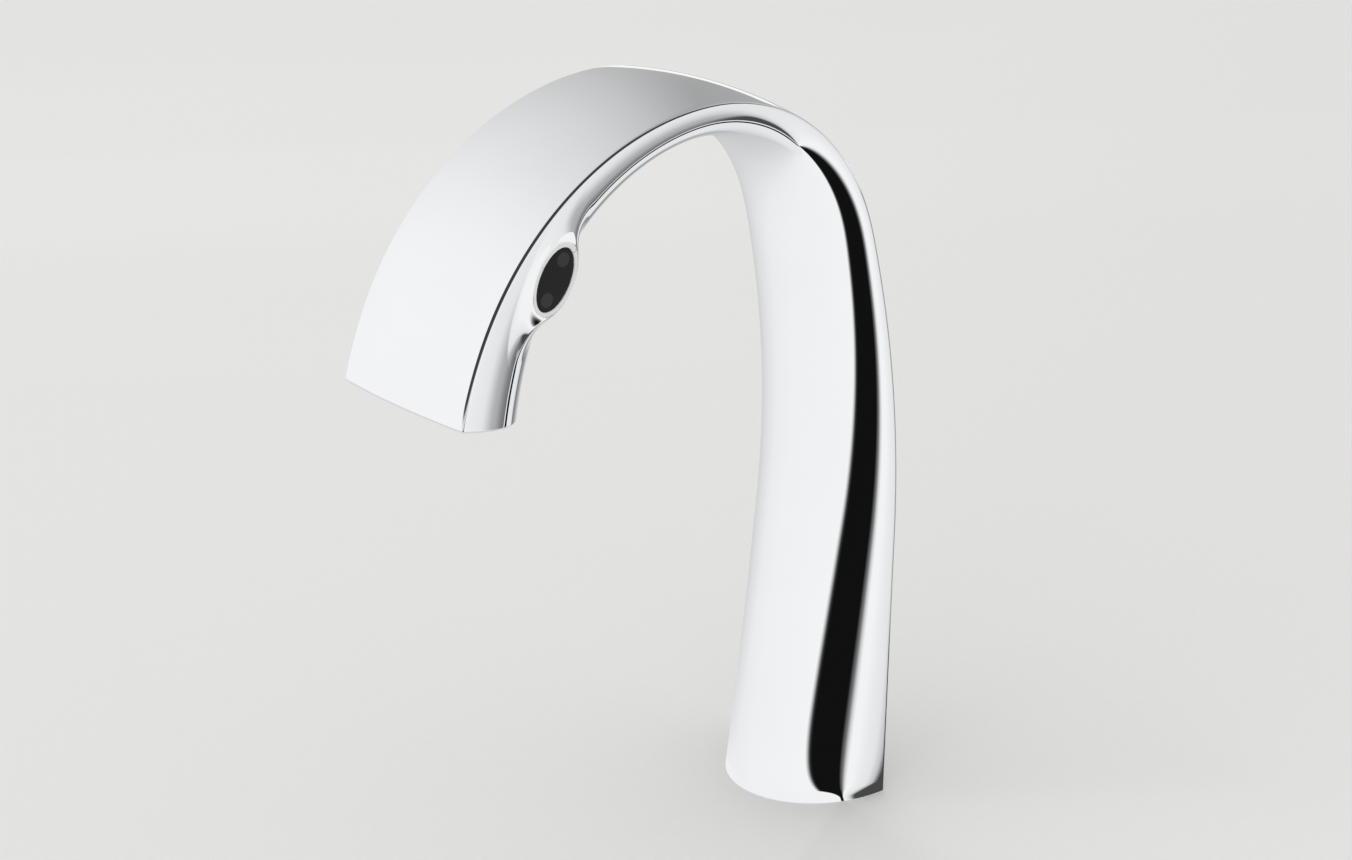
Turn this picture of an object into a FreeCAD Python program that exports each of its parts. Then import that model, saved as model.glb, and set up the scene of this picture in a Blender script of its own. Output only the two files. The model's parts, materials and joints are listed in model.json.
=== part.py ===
import FreeCAD, Part
import math
import os
import Sketcher

# Deck-mounted sensor tap: a flat, crowned spout that rises from the deck, arches over and
# ends in a downward outlet, with an oval sensor eye on the right side of its end.
# Frame: +Z up, z = 0 on the deck, the spout points to -Y, the sensor side is +X.
# The origin is the middle of the base, on the axis of the threaded shank.
# A place on the spout is given by its distance along the outer corner line (station),
# its distance inside the outer face (inset) and its distance from the middle plane (side).

V = FreeCAD.Vector
Turn = FreeCAD.Rotation

DRIVING_SIZES = [
    # path of the outer corner line, from the deck to the outlet end
    ("base_axis", 14.6, "shank axis, inside the outer face of the base"),
    ("leg_lean", -2.1, "lean of the straight leg, degrees from upright, negative backwards"),
    ("leg_run", 89.3, "length of the straight leg"),
    ("shoulder_radius", 329.0, "outer radius where the leg starts to bend"),
    ("shoulder_heading", 15.8, "heading at the end of that bend, degrees from upright"),
    ("crest_radius", 67.4, "outer radius over the top of the arch"),
    ("crest_heading", 92.0, "heading past the top"),
    ("brow_radius", 91.6, "outer radius of the front of the arch"),
    ("brow_heading", 152.7, "heading at the end of the front"),
    ("nose_radius", 116.5, "outer radius of the last stretch"),
    ("outlet_heading", 166.0, "heading of the outlet, degrees from upright"),
    # cross-section
    ("base_width", 57.8, "width across the deck end"),
    ("waist_width", 52.6, "least width"),
    ("tip_width", 54.7, "width across the outlet end"),
    ("narrowest_at", 290.0, "station of the least width"),
    ("base_depth", 33.4, "depth of the deck end behind its corner line"),
    ("waist_depth", 12.5, "least depth, just before the top of the arch"),
    ("nose_depth", 35.6, "depth that the outlet end swells towards"),
    ("waist_at", 228.0, "station of the least depth"),
    ("swell_run", 200.0, "run over which the end swells from the waist"),
    ("leg_taper", 1.7, "power of the taper of the leg"),
    ("crown", 2.4, "rise of the outer face over its corner line"),
    ("wall", 2.4, "wall of the casting"),
    ("edge_round", 0.9, "rounding of the two long corners"),
    ("tip_block", 12.0, "solid end that carries the outlet"),
    # outlet
    ("outlet_inset", 16.0, "outlet axis inside the corner line"),
    ("socket_outer", 26.8, "outer diameter of the outlet socket"),
    ("socket_thread", 24.0, "thread of the outlet socket"),
    ("socket_recess", 0.5, "outlet socket behind the end face"),
    ("thread_depth", 9.0, "depth of the thread in the socket"),
    ("socket_floor", 3.5, "solid step between the thread and the tube"),
    ("collet_wall", 1.6, "room for the collet around the tube"),
    ("collet_lip", 1.5, "release lip of the collet"),
    ("tube_seal", 2.0, "height of the ring that seals the tube"),
    ("neck_outer", 15.0, "neck of the socket around the tube"),
    ("neck_run", 13.0, "length of the neck"),
    ("shell_wall", 1.6, "wall of the jet shell"),
    ("shell_run", 7.6, "length of the jet shell"),
    ("shell_lip", 1.0, "lip that carries the insert of the jet shell"),
    ("lip_thick", 0.8, "thickness of that lip"),
    ("notch_wide", 2.6, "width of a spanner notch in the jet shell"),
    ("notch_deep", 1.4, "depth of a spanner notch"),
    ("grid_height", 1.2, "height of the outlet grid"),
    ("core_height", 3.0, "height of the mixing core"),
    ("regulator_height", 1.4, "height of the flow regulator"),
    ("screen_rise", 1.8, "rise of the domed screen"),
    ("screen_thick", 0.5, "thickness of the domed screen"),
    ("grid_outer_ring", 15.2, "pitch circle of the outer holes of the grid"),
    ("grid_inner_ring", 8.4, "pitch circle of the inner holes of the grid"),
    ("grid_hole", 2.6, "hole of the grid"),
    ("core_ring", 14.0, "pitch circle of the mixing core"),
    ("core_hole", 3.8, "hole of the mixing core"),
    ("regulator_ring", 11.2, "pitch circle of the flow regulator"),
    ("regulator_hole", 2.0, "hole of the flow regulator"),
    # water tube
    ("tube_outer", 8.0, "outer diameter of the water tube"),
    ("tube_bore", 6.0, "bore of the water tube"),
    ("tail_drop", 85.0, "end of the water tube below the deck"),
    ("inlet_thread", 14.3, "outer diameter of the inlet thread"),
    ("inlet_run", 12.0, "length of the inlet thread"),
    ("hex_flats", 17.0, "spanner size of the inlet nipple"),
    ("hex_height", 7.0, "height of that hexagon"),
    ("sleeve_wall", 1.0, "sleeve of the nipple around the tube"),
    # sensor
    ("sensor_at", 354.0, "station of the middle of the sensor eye"),
    ("sensor_inset", 13.6, "middle of the eye inside the corner line"),
    ("sensor_heading", 150.4, "heading of the long axis of the eye"),
    ("eye_length", 19.0, "long axis of the dark window"),
    ("eye_width", 11.2, "short axis of the dark window"),
    ("eye_side", 27.0, "bright rim of the eye from the middle plane"),
    ("eye_rim", 1.1, "width of the bright rim"),
    ("rim_round", 0.4, "rounding of the rim towards the window"),
    ("flare_length", 16.0, "how far the boss flares along the spout"),
    ("flare_width", 1.6, "how far the boss flares across the spout"),
    ("flare_sink", 2.9, "depth over which the boss flares"),
    ("boss_deep", 12.5, "depth of the boss below its rim"),
    ("window_thick", 1.6, "thickness of the window"),
    ("window_recess", 0.25, "window face behind the rim"),
    ("housing_deep", 13.0, "depth of the sensor cup"),
    ("housing_wall", 1.0, "wall of the sensor cup"),
    ("lens_spread", 12.0, "distance between the two lenses"),
    ("lens_outer", 3.8, "diameter of a lens"),
    ("lens_flange", 0.4, "flange of a lens"),
    ("flange_thick", 0.8, "thickness of that flange"),
    ("lens_dome", 1.0, "height of the domed end of a lens"),
    ("board_thick", 1.2, "thickness of the circuit board"),
    ("potting_thick", 3.8, "thickness of the potting behind the board"),
    ("shield_thick", 1.2, "thickness of the light shield"),
    ("seal_wide", 1.6, "width of the seal around the cup"),
    ("seal_deep", 0.8, "depth of its groove"),
    ("seal_set", 0.5, "groove behind the front of the cup"),
    # lead
    ("lead_outer", 2.8, "outer diameter of the sensor lead"),
    ("lead_side", 7.0, "lead beside the middle plane in the leg"),
    ("lead_bite", 4.0, "length of lead held in the potting"),
    ("lead_approach", 14.0, "straight run of the lead outside the cup"),
    ("base_bend", 18.0, "height at which tube and lead leave the shank"),
    ("socket_body", 3.8, "outer diameter of the plug-in socket of the lead"),
    ("socket_wall", 0.7, "wall of that socket"),
    ("pin_well", 6.0, "depth of its pin hole"),
    ("clip_thick", 5.0, "thickness of a tube clip"),
    ("clip_wall", 1.3, "wall of a tube clip"),
    # base and clamp
    ("shank_outer", 24.0, "thread of the shank"),
    ("shank_bore", 19.0, "bore of the shank"),
    ("shank_drop", 60.0, "end of the shank below the deck"),
    ("plug_height", 10.0, "height of the plug in the shank"),
    ("seal_thick", 1.5, "thickness of the deck seal"),
    ("plate_thick", 8.0, "thickness of the base plate"),
    ("boss_outer", 10.0, "diameter of the two screw bosses"),
    ("boss_height", 14.0, "height of the two screw bosses"),
    ("boss_side", 20.4, "screw bosses from the middle plane"),
    ("boss_inset", 5.6, "screw bosses inside the corner line"),
    ("screw_shank", 4.0, "thread of a base screw"),
    ("screw_head", 7.0, "head of a base screw"),
    ("screw_grip", 8.0, "length of a base screw in its boss"),
    ("head_height", 2.6, "height of that head"),
    ("pin_outer", 4.0, "diameter of the locating pin"),
    ("pin_drop", 6.0, "length of the pin below the deck"),
    ("pin_side", 17.2, "locating pin from the middle plane"),
    ("pin_collar", 6.0, "diameter of the pin in the base plate"),
    ("deck_thick", 30.0, "deck between the base and the clamp as drawn"),
    ("clamp_outer", 44.0, "diameter of the clamp washers"),
    ("rubber_thick", 3.0, "thickness of the rubber washer"),
    ("steel_thick", 2.5, "thickness of the steel washer"),
    ("nut_flats", 32.0, "spanner size of the nut"),
    ("nut_height", 8.0, "height of the nut"),
    ("hex_bevel", 1.2, "height of the bevel on the corners of a hexagon"),
    # clearances
    ("running_gap", 0.05, "radial gap of a screwed or pushed fit"),
    ("seat_gap", 0.3, "gap between a loose piece and its seat"),
]

SECTIONS = 18
FLARE_STEPS = 6
ROUTE_SHARE = 0.45
NOTCHES = 4
GRID_HOLES = (12, 6)
CORE_HOLES = 8
REGULATOR_HOLES = 10

doc = FreeCAD.newDocument("sensor_tap")
sheet = doc.addObject("Spreadsheet::Sheet", "Sizes")
size = {}


def put_size(name, value, note):
    """One row of the sheet: the note, then the plain number under its alias."""
    row = len(size) + 1
    sheet.set(f"A{row}", note)
    sheet.set(f"B{row}", str(value))
    sheet.setAlias(f"B{row}", name)
    size[name] = float(value)


for name, value, note in DRIVING_SIZES:
    put_size(name, value, note)


def cell(text):
    """An expression in which every word that is an alias reads its cell of the sheet."""
    words = []
    word = ""
    for letter in text + " ":
        if letter.isalnum() or letter == "_":
            word += letter
            continue
        words.append("Sizes." + word if word in size else word)
        words.append(letter)
        word = ""
    return "".join(words).strip()


# ---- the path of the outer corner line -------------------------------------------------

def path_pieces():
    """Straight leg and four tangent arcs: radius, start heading, turn, start, length."""
    pieces = []
    heading = math.radians(size["leg_lean"])
    run = size["leg_run"]
    forward, height = 0.0, 0.0
    pieces.append((None, heading, run, forward, height))
    forward += run * math.sin(heading)
    height += run * math.cos(heading)
    for bend in ("shoulder", "crest", "brow", "nose"):
        radius = size[bend + "_radius"]
        last = "outlet" if bend == "nose" else bend
        end = math.radians(size[last + "_heading"])
        pieces.append((radius, heading, radius * (end - heading), forward, height))
        forward += radius * (math.cos(heading) - math.cos(end))
        height += radius * (math.sin(end) - math.sin(heading))
        heading = end
    return pieces


PATH = path_pieces()
path_length = sum(piece[2] for piece in PATH)


def corner_line(station):
    """Forward and height of the corner line, and its heading, at a distance along it."""
    left = station
    for radius, heading, run, forward, height in PATH:
        if left <= run + 1e-9:
            break
        left -= run
    else:
        left = run
    if radius is None:
        return forward + left * math.sin(heading), height + left * math.cos(heading), heading
    end = heading + left / radius
    return (forward + radius * (math.cos(heading) - math.cos(end)),
            height + radius * (math.sin(end) - math.sin(heading)), end)


def world(forward, height, side=0.0):
    return V(side, size["base_axis"] - forward, height)


def inward(heading):
    return V(0, -math.cos(heading), -math.sin(heading))


def onward(heading):
    return V(0, -math.sin(heading), math.cos(heading))


def spot(station, inset=0.0, side=0.0):
    """A point in the spout, from its station, inset and side."""
    forward, height, heading = corner_line(station)
    return world(forward, height, side) + inward(heading) * inset


def section_frame(station):
    """Sketch plane across the spout: x to the sensor side, y inwards."""
    forward, height, heading = corner_line(station)
    if station <= 0:
        heading = 0.0
    place = Turn(V(1, 0, 0), inward(heading), -onward(heading), "ZXY")
    return FreeCAD.Placement(world(forward, height), place)


# ---- the cross-section ------------------------------------------------------------------

def width_at(station):
    """Width from its ends to the least width."""
    away = station - size["narrowest_at"]
    if away < 0:
        return size["waist_width"] + (size["base_width"] - size["waist_width"]) * (
            -away / size["narrowest_at"]) ** 1.5
    return size["waist_width"] + (size["tip_width"] - size["waist_width"]) * (
        away / (path_length - size["narrowest_at"])) ** 2


def depth_at(station):
    """Depth: the leg tapers to the waist, then the end swells on a cosine."""
    past = station - size["waist_at"]
    if past < 0:
        return size["waist_depth"] + (size["base_depth"] - size["waist_depth"]) * (
            -past / size["waist_at"]) ** size["leg_taper"]
    swell = (1 - math.cos(math.pi * past / size["swell_run"])) / 2
    return size["waist_depth"] + (size["nose_depth"] - size["waist_depth"]) * swell


def crown_radius():
    half = size["base_width"] / 2
    return (half ** 2 + size["crown"] ** 2) / (2 * size["crown"])


def section_sizes(station, skin):
    """Half width, corner inset, crown inset and depth of the outline a skin inside."""
    half = width_at(station) / 2
    radius = crown_radius()
    centre = math.sqrt(radius ** 2 - half ** 2)
    inner_half = half - skin
    inner_radius = radius - skin
    corner = centre - math.sqrt(inner_radius ** 2 - inner_half ** 2)
    return inner_half, corner, centre - inner_radius, depth_at(station) - skin


def origin_plane(body, role):
    return [each for each in body.Origin.OriginFeatures if each.Role == role][0]


def new_sketch(body, name, place=None, role="XY_Plane"):
    sketch = body.newObject("Sketcher::SketchObject", name)
    sketch.AttachmentSupport = [(origin_plane(body, role), "")]
    sketch.MapMode = "FlatFace"
    if place:
        sketch.AttachmentOffset = place
    return sketch


def bind_point(sketch, geometry, point, across, along, near):
    """Holds one point of the sketch to two expressions."""
    for kind, text, value in (("DistanceX", across, near[0]), ("DistanceY", along, near[1])):
        index = sketch.addConstraint(Sketcher.Constraint(kind, -1, 1, geometry, point, value))
        sketch.setExpression(f"Constraints[{index}]", cell(text))


def d_section(body, name, station, skin, place=None):
    """Crowned outer side and half-elliptical inner side, bound to its own cells."""
    half, corner, back, depth = section_sizes(station, skin)
    label = name.lower()
    for part, value in (("half", half), ("corner", corner), ("back", back), ("deep", depth)):
        put_size(f"{label}_{part}", round(value, 5), f"{name}, {part}")
    sketch = new_sketch(body, name, place or section_frame(station))
    rise = corner - back
    radius = (half ** 2 + rise ** 2) / (2 * rise)
    reach = math.asin(half / radius)
    circle = Part.Circle(V(0, back + radius, 0), V(0, 0, 1), radius)
    crown = sketch.addGeometry(
        Part.ArcOfCircle(circle, -math.pi / 2 - reach, -math.pi / 2 + reach))
    tall = depth - corner
    middle = V(0, corner, 0)
    if half >= tall:
        ellipse = Part.Ellipse(V(half, corner, 0), V(0, corner + tall, 0), middle)
        arc = Part.ArcOfEllipse(ellipse, 0, math.pi)
    else:
        ellipse = Part.Ellipse(V(0, corner + tall, 0), V(-half, corner, 0), middle)
        arc = Part.ArcOfEllipse(ellipse, -math.pi / 2, math.pi / 2)
    inner = sketch.addGeometry(arc)
    tie = Sketcher.Constraint
    sketch.addConstraint(tie("Coincident", crown, 2, inner, 1))
    sketch.addConstraint(tie("Coincident", inner, 2, crown, 1))
    sketch.addConstraint(tie("PointOnObject", crown, 3, -2))
    bind_point(sketch, crown, 2, f"{label}_half", f"{label}_corner", (half, corner))
    bind_point(sketch, inner, 3, "0", f"{label}_corner", (0, corner))
    index = sketch.addConstraint(tie("Radius", crown, radius))
    rising = f"({label}_corner - {label}_back)"
    sketch.setExpression(
        f"Constraints[{index}]", cell(f"({label}_half ^ 2 + {rising} ^ 2) / (2 * {rising})"))
    sketch.exposeInternalGeometry(inner)
    upright = inner + 2 if half >= tall else inner + 1
    sketch.addConstraint(tie("Vertical", upright))
    crossing = sketch.addGeometry(Part.Point(V(0, depth, 0)), True)
    sketch.addConstraint(tie("PointOnObject", crossing, 1, inner))
    bind_point(sketch, crossing, 1, "0", f"{label}_deep", (0, depth))
    return sketch


def oval_sketch(body, name, place, *ovals):
    """Ellipses about the sketch origin, long axis along x, their half axes bound."""
    sketch = new_sketch(body, name, place)
    tie = Sketcher.Constraint
    for number, (long_half, short_half) in enumerate(ovals):
        aliases = (f"{name.lower()}_long{number}x", f"{name.lower()}_short{number}x")
        for alias, value in zip(aliases, (long_half, short_half)):
            put_size(alias, round(value, 5), f"{name}, half axis")
        ellipse = Part.Ellipse(V(long_half, 0, 0), V(0, short_half, 0), V(0, 0, 0))
        oval = sketch.addGeometry(ellipse)
        sketch.addConstraint(tie("Coincident", oval, 3, -1, 1))
        sketch.exposeInternalGeometry(oval)
        bind_point(sketch, oval + 1, 1, aliases[0], "0", (long_half, 0))
        index = sketch.addConstraint(tie("DistanceY", -1, 1, oval + 2, 1, short_half))
        sketch.setExpression(f"Constraints[{index}]", cell(aliases[1]))
    return sketch


# ---- helpers for the plainer pieces ------------------------------------------------------

pieces = []


def keep(piece, label, place=None):
    """Labels a finished sub-part, puts it in its place and lists it for export."""
    piece.Label = label
    if place:
        piece.Placement = place
    pieces.append(piece)
    return piece


def body_named(name):
    return doc.addObject("PartDesign::Body", name)


def polygon_sketch(body, name, corners, role="XZ_Plane", place=None):
    """Closed outline of straight lines through corners given as pairs of expressions."""
    sketch = new_sketch(body, name, place, role)
    count = len(corners)
    step = 2 * math.pi / count
    guess = [V(40 + 9 * math.cos(step * i), 9 * math.sin(step * i), 0) for i in range(count)]
    for i in range(count):
        sketch.addGeometry(Part.LineSegment(guess[i], guess[(i + 1) % count]))
    for i in range(count):
        sketch.addConstraint(Sketcher.Constraint("Coincident", i, 2, (i + 1) % count, 1))
    for i, (across, along) in enumerate(corners):
        bind_point(sketch, i, 1, across, along, (guess[i].x, guess[i].y))
    return sketch


def circle_sketch(body, name, circles, role="XY_Plane", place=None):
    """Circles, each given as centre x, centre y and radius expressions with a guess."""
    sketch = new_sketch(body, name, place, role)
    for across, along, radius, near in circles:
        ring = sketch.addGeometry(Part.Circle(V(near[0], near[1], 0), V(0, 0, 1), near[2]))
        bind_point(sketch, ring, 3, across, along, near)
        index = sketch.addConstraint(Sketcher.Constraint("Radius", ring, near[2]))
        sketch.setExpression(f"Constraints[{index}]", cell(radius))
    return sketch


def turned(name, corners, place=None):
    """Turned piece: the outline holds radius and height, turned about Z."""
    body = body_named(name)
    sketch = polygon_sketch(body, name + "_outline", corners)
    turn = body.newObject("PartDesign::Revolution", name + "_turn")
    turn.Profile = sketch
    turn.ReferenceAxis = (sketch, ["V_Axis"])
    turn.Angle = 360
    return keep(body, name, place)


def tube_corners(inner, outer, low, high):
    return [(inner, low), (outer, low), (outer, high), (inner, high)]


def pad(body, name, sketch, length, reversed_way=False):
    feature = body.newObject("PartDesign::Pad", name)
    feature.Profile = sketch
    feature.setExpression("Length", cell(length))
    feature.Reversed = reversed_way
    return feature


def pocket(body, name, sketch, length, reversed_way=False):
    """Pocket that has to take metal away."""
    doc.recompute()
    before = body.Shape.Volume
    feature = body.newObject("PartDesign::Pocket", name)
    feature.Profile = sketch
    feature.setExpression("Length", cell(length))
    feature.Reversed = reversed_way
    doc.recompute()
    if feature.Shape.Volume >= before:
        raise RuntimeError(f"{name} cuts nothing")
    return feature


def shifted(place, step):
    return place.multiply(FreeCAD.Placement(step, Turn()))


# ---- frames of the outlet, the sensor and the base ---------------------------------------

tip_heading = corner_line(path_length)[2]
# z of this frame runs from the end face into the spout, y runs away from the corner line
outlet_frame = FreeCAD.Placement(
    spot(path_length, size["outlet_inset"]),
    Turn(V(1, 0, 0), inward(tip_heading), -onward(tip_heading), "ZXY"))

eye_heading = math.radians(size["sensor_heading"])
eye_spot = spot(size["sensor_at"], size["sensor_inset"])
# z of this frame runs out of the sensor side, x along the long axis of the eye
eye_frame = FreeCAD.Placement(
    V(0, eye_spot.y, eye_spot.z),
    Turn(onward(eye_heading), -inward(eye_heading), V(1, 0, 0), "ZXY"))

eye_long = size["eye_length"] / 2
eye_short = size["eye_width"] / 2
cup_front = size["eye_side"] - size["window_recess"] - size["window_thick"]
cup_back = cup_front - size["housing_deep"]


def at_side(distance):
    return shifted(eye_frame, V(0, 0, distance))


# ---- spout body: the casting --------------------------------------------------------------

def make_spout_body():
    """Cast and polished spout: lofted skin, flared sensor boss, cored inside."""
    body = body_named("spout_body")
    skins = []
    for i in range(SECTIONS + 1):
        station = path_length * i / SECTIONS
        skins.append(d_section(body, f"Skin{i}", station, 0.0))
    doc.recompute()
    shell = body.newObject("PartDesign::AdditiveLoft", "skin_loft")
    shell.Profile = skins[0]
    shell.Sections = skins[1:]
    doc.recompute()

    # sensor boss: the rim flares out on a quarter ellipse into the side, over a straight foot
    rim_long = eye_long + size["eye_rim"]
    rim_short = eye_short + size["eye_rim"]
    ovals = []
    for i in range(FLARE_STEPS + 1):
        angle = math.pi / 2 * i / FLARE_STEPS
        out = 1 - math.cos(angle)
        ovals.append(oval_sketch(
            body, f"Flare{i}", at_side(size["eye_side"] - size["flare_sink"] * math.sin(angle)),
            (rim_long + size["flare_length"] * out, rim_short + size["flare_width"] * out)))
    doc.recompute()
    boss = body.newObject("PartDesign::AdditiveLoft", "boss_loft")
    boss.Profile = ovals[0]
    boss.Sections = ovals[1:]
    doc.recompute()
    foot = oval_sketch(
        body, "FlareFoot", at_side(size["eye_side"] - size["flare_sink"]),
        (rim_long + size["flare_length"], rim_short + size["flare_width"]))
    doc.recompute()
    pad(body, "boss_foot", foot, "boss_deep - flare_sink", True)
    doc.recompute()

    # core: leaves the wall all round and the solid end that carries the outlet
    hollow_end = path_length - size["tip_block"]
    cores = []
    for i in range(SECTIONS + 1):
        station = hollow_end * i / SECTIONS
        cores.append(d_section(body, f"Core{i}", station, size["wall"]))
    doc.recompute()
    before = body.Shape.Volume
    core = body.newObject("PartDesign::SubtractiveLoft", "core_loft")
    core.Profile = cores[0]
    core.Sections = cores[1:]
    doc.recompute()
    if core.Shape.Volume >= before:
        raise RuntimeError("the core takes no metal away")

    # screw bosses for the base plate, cast against the back wall
    floor = FreeCAD.Placement(
        V(0, size["base_axis"], size["seal_thick"] + size["plate_thick"]), Turn())
    bosses = circle_sketch(body, "Bosses", [
        (f"{sign}boss_side", "-boss_inset", "boss_outer / 2",
         (float(sign + "20"), -5, 5)) for sign in ("+", "-")], place=floor)
    doc.recompute()
    pad(body, "boss_pad", bosses, "boss_height")
    doc.recompute()
    holes = circle_sketch(body, "BossHoles", [
        (f"{sign}boss_side", "-boss_inset", "screw_shank / 2 + running_gap",
         (float(sign + "20"), -5, 2)) for sign in ("+", "-")], place=floor)
    pocket(body, "boss_holes", holes, "screw_grip + 1", True)

    # bore of the outlet, from the end face into the hollow
    mouth = circle_sketch(body, "Mouth", [
        ("0", "0", "socket_outer / 2 + running_gap", (0, 0, 13))], place=outlet_frame)
    pocket(body, "outlet_bore", mouth, "tip_block + wall", True)

    # oval opening of the eye, from the rim into the hollow
    opening = oval_sketch(body, "Eye", at_side(size["eye_side"]),
                          (eye_long + size["running_gap"], eye_short + size["running_gap"]))
    pocket(body, "eye_opening", opening, "eye_side - lens_outer * 2")
    return keep(body, "spout_body")


spout = make_spout_body()


def rounded(name, radius, chosen, count):
    """Rounds the edges of the casting that a test of edge and middle point picks out."""
    base = spout.Tip
    edges = []
    for index, edge in enumerate(base.Shape.Edges, 1):
        middle = edge.valueAt((edge.FirstParameter + edge.LastParameter) / 2)
        if chosen(edge, middle):
            edges.append(f"Edge{index}")
    if len(edges) != count:
        raise RuntimeError(f"{name} found {len(edges)} edges")
    rounding = spout.newObject("PartDesign::Fillet", name)
    rounding.Base = (base, edges)
    rounding.setExpression("Radius", cell(radius))
    doc.recompute()


def is_long_corner(edge, middle):
    return edge.Length > path_length * 0.8 and abs(middle.x) > size["waist_width"] / 2 - 1


def is_eye_edge(edge, middle):
    """The edge between the rim and the opening."""
    box = edge.BoundBox
    flat = abs(box.XMin - size["eye_side"]) + abs(box.XMax - size["eye_side"]) < 0.02
    return flat and edge.Length < math.pi * (eye_long + eye_short + size["eye_rim"])


rounded("corner_round", "edge_round", is_long_corner, 2)
rounded("rim_rounding", "rim_round", is_eye_edge, 1)


# ---- sensor module -------------------------------------------------------------------------

def oval_pad(name, side, length, *ovals):
    """Flat oval piece, its back face at a distance from the middle plane."""
    body = body_named(name)
    sketch = oval_sketch(body, name + "_oval", at_side(side), *ovals)
    doc.recompute()
    pad(body, name + "_pad", sketch, length)
    doc.recompute()
    return body


inner_long = eye_long - size["housing_wall"]
inner_short = eye_short - size["housing_wall"]
board_front = cup_back + size["housing_wall"] + size["potting_thick"] + size["board_thick"]
lead_eye_side = cup_back + size["housing_wall"] + size["potting_thick"] / 2
# frame whose z runs along the long axis of the eye, from the middle towards the arch
lead_entry = FreeCAD.Placement(
    V(lead_eye_side, eye_spot.y, eye_spot.z),
    Turn(V(1, 0, 0), inward(eye_heading), -onward(eye_heading), "ZXY"))


def make_sensor_cup():
    """Moulded cup, open to the window, with a seal groove and a hole for the lead."""
    body = oval_pad("sensor_housing", cup_back, "housing_deep", (eye_long, eye_short))
    hollow = oval_sketch(body, "CupHollow", at_side(cup_front), (inner_long, inner_short))
    pocket(body, "cup_hollow", hollow, "housing_deep - housing_wall")
    groove = oval_sketch(
        body, "CupGroove", at_side(cup_front - size["seal_set"]),
        (eye_long + 1, eye_short + 1),
        (eye_long - size["seal_deep"], eye_short - size["seal_deep"]))
    pocket(body, "cup_groove", groove, "seal_wide")
    hole = circle_sketch(body, "CupLead", [
        ("0", "0", "lead_outer / 2 + running_gap", (0, 0, 1.5))], place=lead_entry)
    pocket(body, "cup_lead", hole, "eye_length / 2 + 1", True)
    return keep(body, "sensor_housing")


make_sensor_cup()

window = oval_pad("sensor_window", cup_front, "window_thick", (eye_long, eye_short))
keep(window, "sensor_window")

seal_gap = size["running_gap"]
seal = oval_pad(
    "sensor_seal", cup_front - size["seal_set"] - size["seal_wide"], "seal_wide",
    (eye_long, eye_short),
    (eye_long - size["seal_deep"] + seal_gap, eye_short - size["seal_deep"] + seal_gap))
keep(seal, "sensor_seal")

board = oval_pad(
    "sensor_board", board_front - size["board_thick"], "board_thick",
    (inner_long - seal_gap, inner_short - seal_gap))
keep(board, "sensor_board")


def make_potting():
    """Resin behind the board, cast around the end of the lead."""
    body = oval_pad(
        "sensor_potting", cup_back + size["housing_wall"], "potting_thick",
        (inner_long - seal_gap, inner_short - seal_gap))
    hole = circle_sketch(body, "PottingLead", [
        ("0", "0", "lead_outer / 2 + running_gap", (0, 0, 1.5))],
        place=shifted(lead_entry, V(0, 0, eye_long - size["lead_bite"])))
    pocket(body, "potting_lead", hole, "eye_length", True)
    return keep(body, "sensor_potting")


make_potting()


def make_lens(name, along):
    """Emitter or receiver: a flanged, domed lens standing on the board."""
    radius = "lens_outer / 2"
    flange = f"({radius} + lens_flange)"
    top = f"(window_low - {board_front:.4f} - running_gap)"
    corners = [("0", "0"), (flange, "0"), (flange, "flange_thick"), (radius, "flange_thick"),
               (radius, f"{top} - lens_dome"), (f"{radius} * 0.75", f"{top} - lens_dome * 0.4"),
               (f"{radius} * 0.4", f"{top} - lens_dome * 0.1"), ("0", top)]
    place = eye_frame.multiply(FreeCAD.Placement(V(along, 0, board_front), Turn()))
    return turned(name, corners, place)


put_size("window_low", cup_front - size["seat_gap"], "back of the window less a gap")
make_lens("ir_emitter", -size["lens_spread"] / 2)
make_lens("ir_receiver", size["lens_spread"] / 2)

put_size("shield_high", cup_front - size["running_gap"] - board_front, "light shield height")
shield = doc.addObject("Part::Box", "light_shield")
shield.setExpression("Length", cell("shield_thick"))
shield.setExpression("Width", cell("eye_width - 2 * housing_wall - 4 * running_gap"))
shield.setExpression("Height", cell("shield_high"))
doc.recompute()
keep(shield, "light_shield", eye_frame.multiply(FreeCAD.Placement(
    V(-shield.Length.Value / 2, -shield.Width.Value / 2, board_front), Turn())))


# ---- water tube and sensor lead ---------------------------------------------------------------

def rounded_route(points):
    """Straight runs joined by tangent arcs, each as large as its two runs allow."""
    edges = []
    radii = []
    start = points[0]
    for before, corner, after in zip(points, points[1:], points[2:]):
        back = before - corner
        ahead = after - corner
        reach = ROUTE_SHARE * min(back.Length, ahead.Length)
        turn = math.pi - back.getAngle(ahead)
        radius = reach / math.tan(turn / 2)
        first = corner + back.normalize() * reach
        last = corner + ahead.normalize() * reach
        halfway = (back + ahead).normalize() * (radius / math.cos(turn / 2) - radius)
        edges.append(Part.LineSegment(start, first).toShape())
        edges.append(Part.Arc(first, corner + halfway, last).toShape())
        radii.append(round(radius, 1))
        start = last
    edges.append(Part.LineSegment(start, points[-1]).toShape())
    return Part.Wire(edges), radii


def swept(wire, radius):
    """Round bar along a route."""
    first = wire.Edges[0]
    ring = Part.Circle(first.valueAt(first.FirstParameter),
                       first.tangentAt(first.FirstParameter), radius)
    return wire.makePipeShell([Part.Wire(ring.toShape())], True, False)


def along_outlet(distance):
    return outlet_frame.multVec(V(0, 0, distance))


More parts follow.
